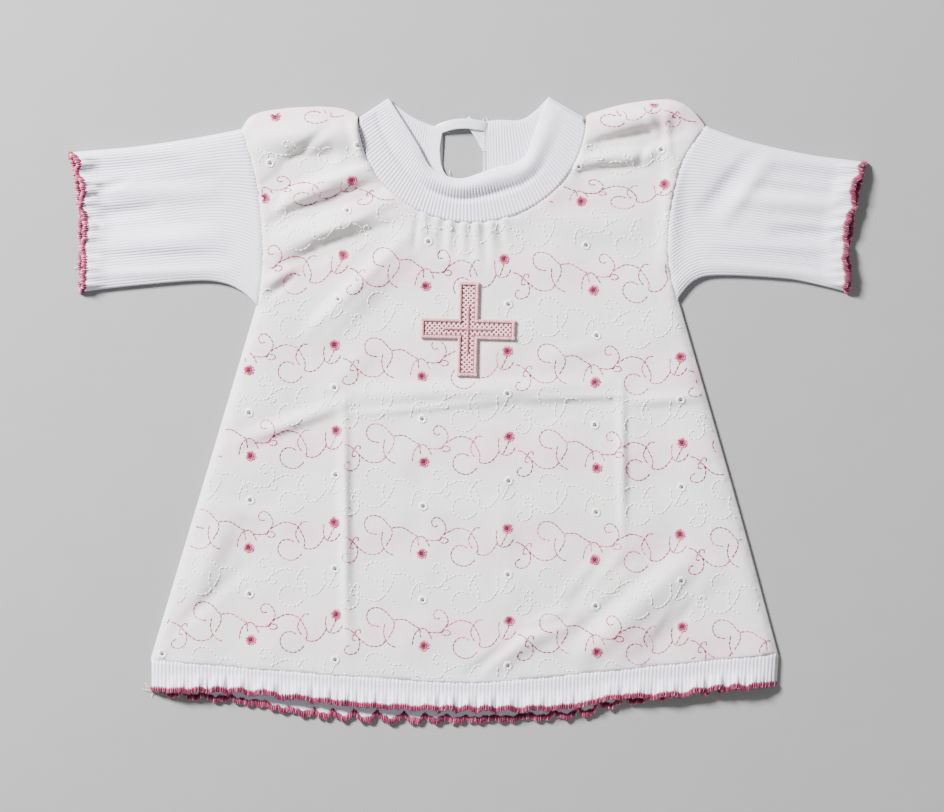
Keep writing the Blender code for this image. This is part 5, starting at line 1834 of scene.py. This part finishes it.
@dataclass
class LaceCross:
    """The embroidered cross: a dark plate, painted shade in the lattice's holes, a raised border, a lattice
    of threads and a ridge along each bar.
    """

    half_bar: float = 6.4
    reach: float = 30.1
    plate: float = 0.7
    lift: float = 0.25
    rim: float = 2.1
    rim_height: float = 1.7
    lattice: float = 2.15
    lattice_width: float = 1.15
    lattice_over: float = 0.62
    lattice_under: float = 0.5
    inside_gap: float = 0.35
    rim_stitch: float = 0.62
    rim_width: float = 0.85
    rim_slant: float = 0.22
    ridge_reach: float = 15.5
    ridge_stitches: int = 24
    ridge_slant: float = 0.25
    ridge_width: float = 1.4
    ridge_height: float = 1.5
    cells: int = 56
    bridge: float = 3.0
    foot: float = 0.1
    bar_scales: tuple = ((0.0, 0.55), (0.3, 1.0), (0.7, 1.0), (1.0, 0.55))
    bar_profile: tuple = ((-1.0, 0.0), (-0.55, 0.8), (0.55, 0.8), (1.0, 0.0))
    end_width: float = 0.7
    seed: int = 5

    def to_plan(self, u: Array, v: Array) -> Array:
        """Plan points from places along the bars."""
        x = CROSS_MIDDLE.x + u * math.cos(CROSS_TURN) - v * math.sin(CROSS_TURN)
        y = CROSS_MIDDLE.y + u * math.sin(CROSS_TURN) + v * math.cos(CROSS_TURN)
        return np.column_stack([x, y])

    def ground(self, cloth: BVHTree, plan: Array) -> Array:
        """The cloth's height under plan points, smoothed so that the cross bridges small creases."""
        reach = self.bridge
        around = [(0, 0), (reach, 0), (-reach, 0), (0, reach), (0, -reach)]
        heights = [
            [cloth.ray_cast((x + i, y + j, RAY_START), (0, 0, -1))[0].z for i, j in around] for x, y in plan
        ]
        return np.mean(heights, axis=1)

    def build(self, cloth: BVHTree, finishes: Finishes) -> None:
        """Makes the plate with operators, as by hand, and the threads on it."""
        self.base(cloth, finishes)
        self.threads(cloth, finishes)

    def cut_grid(self) -> bpy.types.Object:
        """A flat grid cut to a cross, whose nearest lines are moved onto the sides of its bars."""
        bpy.ops.object.select_all(action="DESELECT")
        cells, size = self.cells, 2 * self.reach * MM
        bpy.ops.mesh.primitive_grid_add(x_subdivisions=cells, y_subdivisions=cells, size=size)
        plate = bpy.context.object
        plate.name = "cross_plate"
        limit = self.half_bar * MM
        bpy.ops.object.mode_set(mode="EDIT")
        made = bmesh.from_edit_mesh(plate.data)
        step = size / cells
        for vert in made.verts:
            for k in (0, 1):
                value = vert.co[k]
                if abs(abs(value) - limit) < 0.5 * step:
                    vert.co[k] = math.copysign(limit, value)
        for face in made.faces:
            middle = face.calc_center_median()
            face.select_set(min(abs(middle.x), abs(middle.y)) > limit)
        bmesh.update_edit_mesh(plate.data)
        bpy.ops.mesh.delete(type="FACE")
        bpy.ops.mesh.select_all(action="SELECT")
        bpy.ops.mesh.remove_doubles(threshold=0.00001)
        bpy.ops.object.mode_set(mode="OBJECT")
        return plate

    def base(self, cloth: BVHTree, finishes: Finishes) -> None:
        """The plate: a grid cut to a cross, laid on the cloth and thickened, with a dark tone that is painted
        shade in the lattice's holes.
        """
        plate = self.cut_grid()
        count = len(plate.data.vertices)
        flat = np.empty(count * 3)
        plate.data.vertices.foreach_get("co", flat)
        u, v, _ = (flat.reshape(-1, 3) / MM).T
        plan = self.to_plan(u, v)
        top = self.ground(cloth, plan) + self.lift + self.plate
        placed = np.column_stack([plan, top]) * MM
        plate.data.vertices.foreach_set("co", placed.ravel())
        wall = plate.modifiers.new("wall", "SOLIDIFY")
        wall.thickness = self.plate * MM
        wall.offset = -1
        bpy.ops.object.modifier_apply(modifier=wall.name)
        bpy.ops.object.shade_smooth_by_angle(angle=math.radians(50))
        # Painted shade: the plate's dark tone shows through the lattice's holes and the groove by the rim
        layer = plate.data.attributes.new("tone", "FLOAT", "POINT")
        layer.data.foreach_set("value", np.full(len(plate.data.vertices), 0.05, np.float32))
        plate.data.materials.append(finishes.lace)
        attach(plate, "root")
        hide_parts("cross_applique")
        LOG.info("cross_plate: %d faces", len(plate.data.polygons))

    def border_lines(self) -> list[Array]:
        """The two ends of each side of the cross, half a rim's width in from its edge."""
        h, r = self.half_bar - self.rim / 2, self.reach - self.rim / 2
        right = [(h, h), (r, h), (r, -h), (h, -h), (h, -r)]
        left = [(-h, -r), (-h, -h), (-r, -h), (-r, h), (-h, h)]
        corners = [*right, *left, (-h, r), (h, r)]
        return [np.array([a, b], float) for a, b in zip(corners, corners[1:] + corners[:1])]

    def threads(self, cloth: BVHTree, finishes: Finishes) -> None:
        """The border, the lattice and the ridges, as half-round bars joined into one piece."""
        rng = np.random.default_rng(self.seed)
        bars: list[tuple] = []
        for line in self.border_lines():
            run = line[1] - line[0]
            length = np.linalg.norm(run)
            run = run / length
            side = np.array([-run[1], run[0]])
            past = self.rim * 0.45
            count = round((length + 2 * past) / self.rim_stitch)
            for k in range(count):
                at = line[0] + run * ((length + 2 * past) * (k + 0.5) / count - past)
                reach = side * self.rim / 2 * rng.uniform(0.93, 1.08) + run * self.rim_slant
                tone = rng.uniform(0.55, 0.9)
                bars.append((at - reach, at + reach, self.rim_width, self.rim_height, tone))
        inner = self.half_bar - self.rim - self.inside_gap
        end = self.reach - self.rim - self.inside_gap
        for way in (1, -1):
            for k in range(-40, 41):
                bars += self.diagonal(k * self.lattice, way, inner, end, rng)
        for turn in (0, 1):
            for share in (-1, 1):
                for k in range(self.ridge_stitches):
                    step = share * self.ridge_reach / self.ridge_stitches
                    a = np.array([step * (k - 0.2), self.ridge_slant])
                    b = np.array([step * (k + 1.2), -self.ridge_slant])
                    if turn:
                        a, b = a[::-1], b[::-1]
                    bars.append((a, b, self.ridge_width, self.ridge_height, rng.uniform(0.25, 0.55)))
        points, faces, tones = self.bar_mesh(cloth, bars)
        add_piece("cross_threads", points, [faces], finishes.lace, "applique", tone=tones)

    def diagonal(
        self, offset: float, way: int, inner: float, end: float, rng: np.random.Generator
    ) -> list[tuple]:
        """One lattice thread, cut into short bars inside the cross."""
        bars = []
        step = self.lattice / 2
        run = np.array([1.0, way]) / math.sqrt(2)
        side = np.array([-run[1], run[0]])
        for k in range(-60, 61):
            a, b = run * step * k + side * offset, run * step * (k + 1.1) + side * offset
            middle = (a + b) / 2
            near, far = sorted(np.abs(middle))
            if near < inner and far < end:
                over = self.lattice_over if (k + (way > 0)) % 2 else self.lattice_under
                bars.append((a, b, self.lattice_width, over, rng.uniform(0.8, 1.0)))
        return bars

    def bar_mesh(self, cloth: BVHTree, bars: list[tuple]) -> tuple[Array, Array, Array]:
        """Half-round bars that stand on the plate."""
        a, b = np.array([bar[0] for bar in bars]), np.array([bar[1] for bar in bars])
        width, rise, tone = (np.array([bar[k] for bar in bars]) for k in (2, 3, 4))
        run = b - a
        run /= np.linalg.norm(run, axis=1, keepdims=True)
        side = np.column_stack([-run[:, 1], run[:, 0]]) * (width / 2)[:, None]
        base = self.ground(cloth, self.to_plan(*((a + b) / 2).T)) + self.lift + self.plate - self.foot
        rings = []
        for share, scale in self.bar_scales:
            at = a + (b - a) * share
            reach = side * (self.end_width if scale < 1 else 1)
            for offset, high in self.bar_profile:
                plan = self.to_plan(*(at + reach * offset).T)
                rings.append(np.column_stack([plan, base + rise * high * scale]))
        points = np.stack(rings, axis=1)
        corners = len(rings)
        pattern = np.vstack([grid_faces(4, 4, True), [(3, 2, 1, 0), (12, 13, 14, 15)]])
        faces = pattern[None, :, ::-1] + corners * np.arange(len(bars))[:, None, None]
        return points.reshape(-1, 3), faces.reshape(-1, 4), np.repeat(tone, corners)


@dataclass(frozen=True)
class Studio:
    """The table top, the camera straight above it, and soft light from the upper left."""

    field: float = 604.2
    height: float = 3000.0
    middle: Mark = Mark(3.0, 1.9)
    floor_size: float = 4000.0
    key_place: tuple[float, float, float] = (-1.55, 1.35, 1.35)
    key_size: float = 0.55
    key_power: float = 290.0
    fill_place: tuple[float, float, float] = (1.2, -1.5, 1.8)
    fill_size: float = 1.6
    fill_power: float = 18.0
    sky: float = 0.22
    sensor: float = 36.0

    def build(self, finishes: Finishes) -> None:
        """Sets up all three."""
        self.floor(finishes)
        self.camera()
        self.light("key", self.key_place, self.key_size, self.key_power)
        self.light("fill", self.fill_place, self.fill_size, self.fill_power)
        world = bpy.data.worlds.new("studio")
        world.use_nodes = True
        background = world.node_tree.nodes["Background"].inputs
        background["Color"].default_value = (1, 1, 1, 1)
        background["Strength"].default_value = self.sky
        bpy.context.scene.world = world

    def floor(self, finishes: Finishes) -> None:
        """The table top."""
        bpy.ops.object.select_all(action="DESELECT")
        bpy.ops.mesh.primitive_plane_add(size=self.floor_size * MM)
        floor = bpy.context.object
        floor.name = "table_top"
        bpy.ops.object.mode_set(mode="EDIT")
        bpy.ops.mesh.select_all(action="SELECT")
        bpy.ops.mesh.subdivide(number_cuts=8)
        bpy.ops.object.mode_set(mode="OBJECT")
        floor.data.materials.append(finishes.table)

    def camera(self) -> None:
        """The camera, which looks straight down."""
        lens = bpy.data.cameras.new("camera")
        lens.sensor_width = self.sensor
        lens.lens = self.sensor * self.height / self.field
        lens.clip_end = 20.0
        camera = bpy.data.objects.new("camera", lens)
        camera.location = (self.middle.x * MM, self.middle.y * MM, self.height * MM)
        bpy.context.scene.collection.objects.link(camera)
        bpy.context.scene.camera = camera

    def light(self, name: str, place: tuple[float, float, float], size: float, power: float) -> None:
        """One square area light that points at the gown."""
        data = bpy.data.lights.new(name, "AREA")
        data.shape = "SQUARE"
        data.size = size
        data.energy = power
        lamp = bpy.data.objects.new(name, data)
        lamp.location = place
        lamp.rotation_euler = (Vector((0, 0, 0)) - Vector(place)).to_track_quat("-Z", "Y").to_euler()
        bpy.context.scene.collection.objects.link(lamp)


TIE_OVER = (
    Section(-19.0, 178.6, 1.2),
    Section(-15.0, 180.2, 2.6),
    Section(-9.0, 181.8, 3.9),
    Section(-1.0, 182.4, 4.3),
    Section(6.0, 181.6, 3.9),
    Section(10.5, 180.8, 2.9),
    Section(13.5, 180.2, 1.4),
)
TIE_UNDER = (
    Section(-1.0, 184.6, 3.1),
    Section(3.6, 181.0, 2.7),
    Section(7.4, 176.0, 2.2),
    Section(10.4, 170.5, 1.5),
    Section(13.2, 166.0, 1.2),
)


def sleeve(side: Side) -> Tube:
    """One sleeve's tube."""
    armhole, top, under, cuff = {
        Side.LEFT: (ARMHOLE_LEFT, SLEEVE_TOP_LEFT, SLEEVE_UNDER_LEFT, CUFF_LEFT),
        Side.RIGHT: (ARMHOLE_RIGHT, SLEEVE_TOP_RIGHT, SLEEVE_UNDER_RIGHT, CUFF_RIGHT),
    }[side]
    edge = smooth_line(cuff)
    word = side.name.lower()
    return Tube(
        name=f"sleeve_{word}",
        start=smooth_line(armhole) + np.array([side.value * SEAM_GAP, 0]),
        front_end=edge,
        back_end=edge,
        lower=smooth_line(under),
        upper=smooth_line(top),
        ruffle=Ruffle(pitch=19.0, rise=3.8, back_rise=0.8, fall=18.0, sway=2.3, back_sway=1.0),
        pitch=2.3,
        place=1,
        rows=46,
        cut=(0.245, 0.125),
        edging_name=f"cuff_edging_{word}",
        relief=0.36,
        inset=1.7,
        rib_shade=0.85,
        edging_width=3.6,
        lag=1.1,
        creases=SLEEVE_CREASES,
    )


def hem() -> Tube:
    """The hem band's tube."""
    start = smooth_line(HEM_SEAM) - np.array([0, SEAM_GAP])
    return Tube(
        name="hem_band",
        start=start,
        front_end=smooth_line(HEM_EDGE_FRONT),
        back_end=smooth_line(HEM_EDGE_BACK),
        lower=start[[0, 0]],
        upper=start[[-1, -1]],
        ruffle=Ruffle(pitch=15.5, rise=4.0, back_rise=1.2, fall=10.0, sway=1.7, back_sway=2.9),
        pitch=2.4,
        place=0,
        rows=14,
        cut=(0.82, 0.024),
        edging_name="hem_edging",
        inset=-1.3,
        lag=0.9,
    )


def main() -> None:
    """Builds every piece in order."""
    logging.basicConfig(level=logging.INFO, format="%(message)s")
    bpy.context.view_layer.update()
    finishes = Finishes.make()
    back = WovenPanel(Layer.BACK, cut=(0.412, 0.372))
    front = WovenPanel(Layer.FRONT, cut=(0.424, 0.385))
    _, back_cloth = back.build(finishes)
    _, front_cloth = front.build(finishes)
    for tube in (sleeve(Side.LEFT), sleeve(Side.RIGHT), hem()):
        tube.build(finishes)
        Edging(tube.edging_name, tube.edging_width).build(*tube.edge_path(), finishes)
    NeckBand().build(finishes)
    EndOverlock().build(finishes)
    LooseThreads().build(finishes)
    Ribbon("back_tie_over", TIE_OVER).build(finishes)
    Ribbon("back_tie_under", TIE_UNDER, curl=0.2).build(finishes)
    LaceCross().build(front_cloth, finishes)
    Embroidery(Layer.FRONT).build(front_cloth, front.outline(), finishes)
    Embroidery(Layer.BACK).build(back_cloth, back.outline(), finishes)
    Studio().build(finishes)


if __name__ == "__main__":
    main()
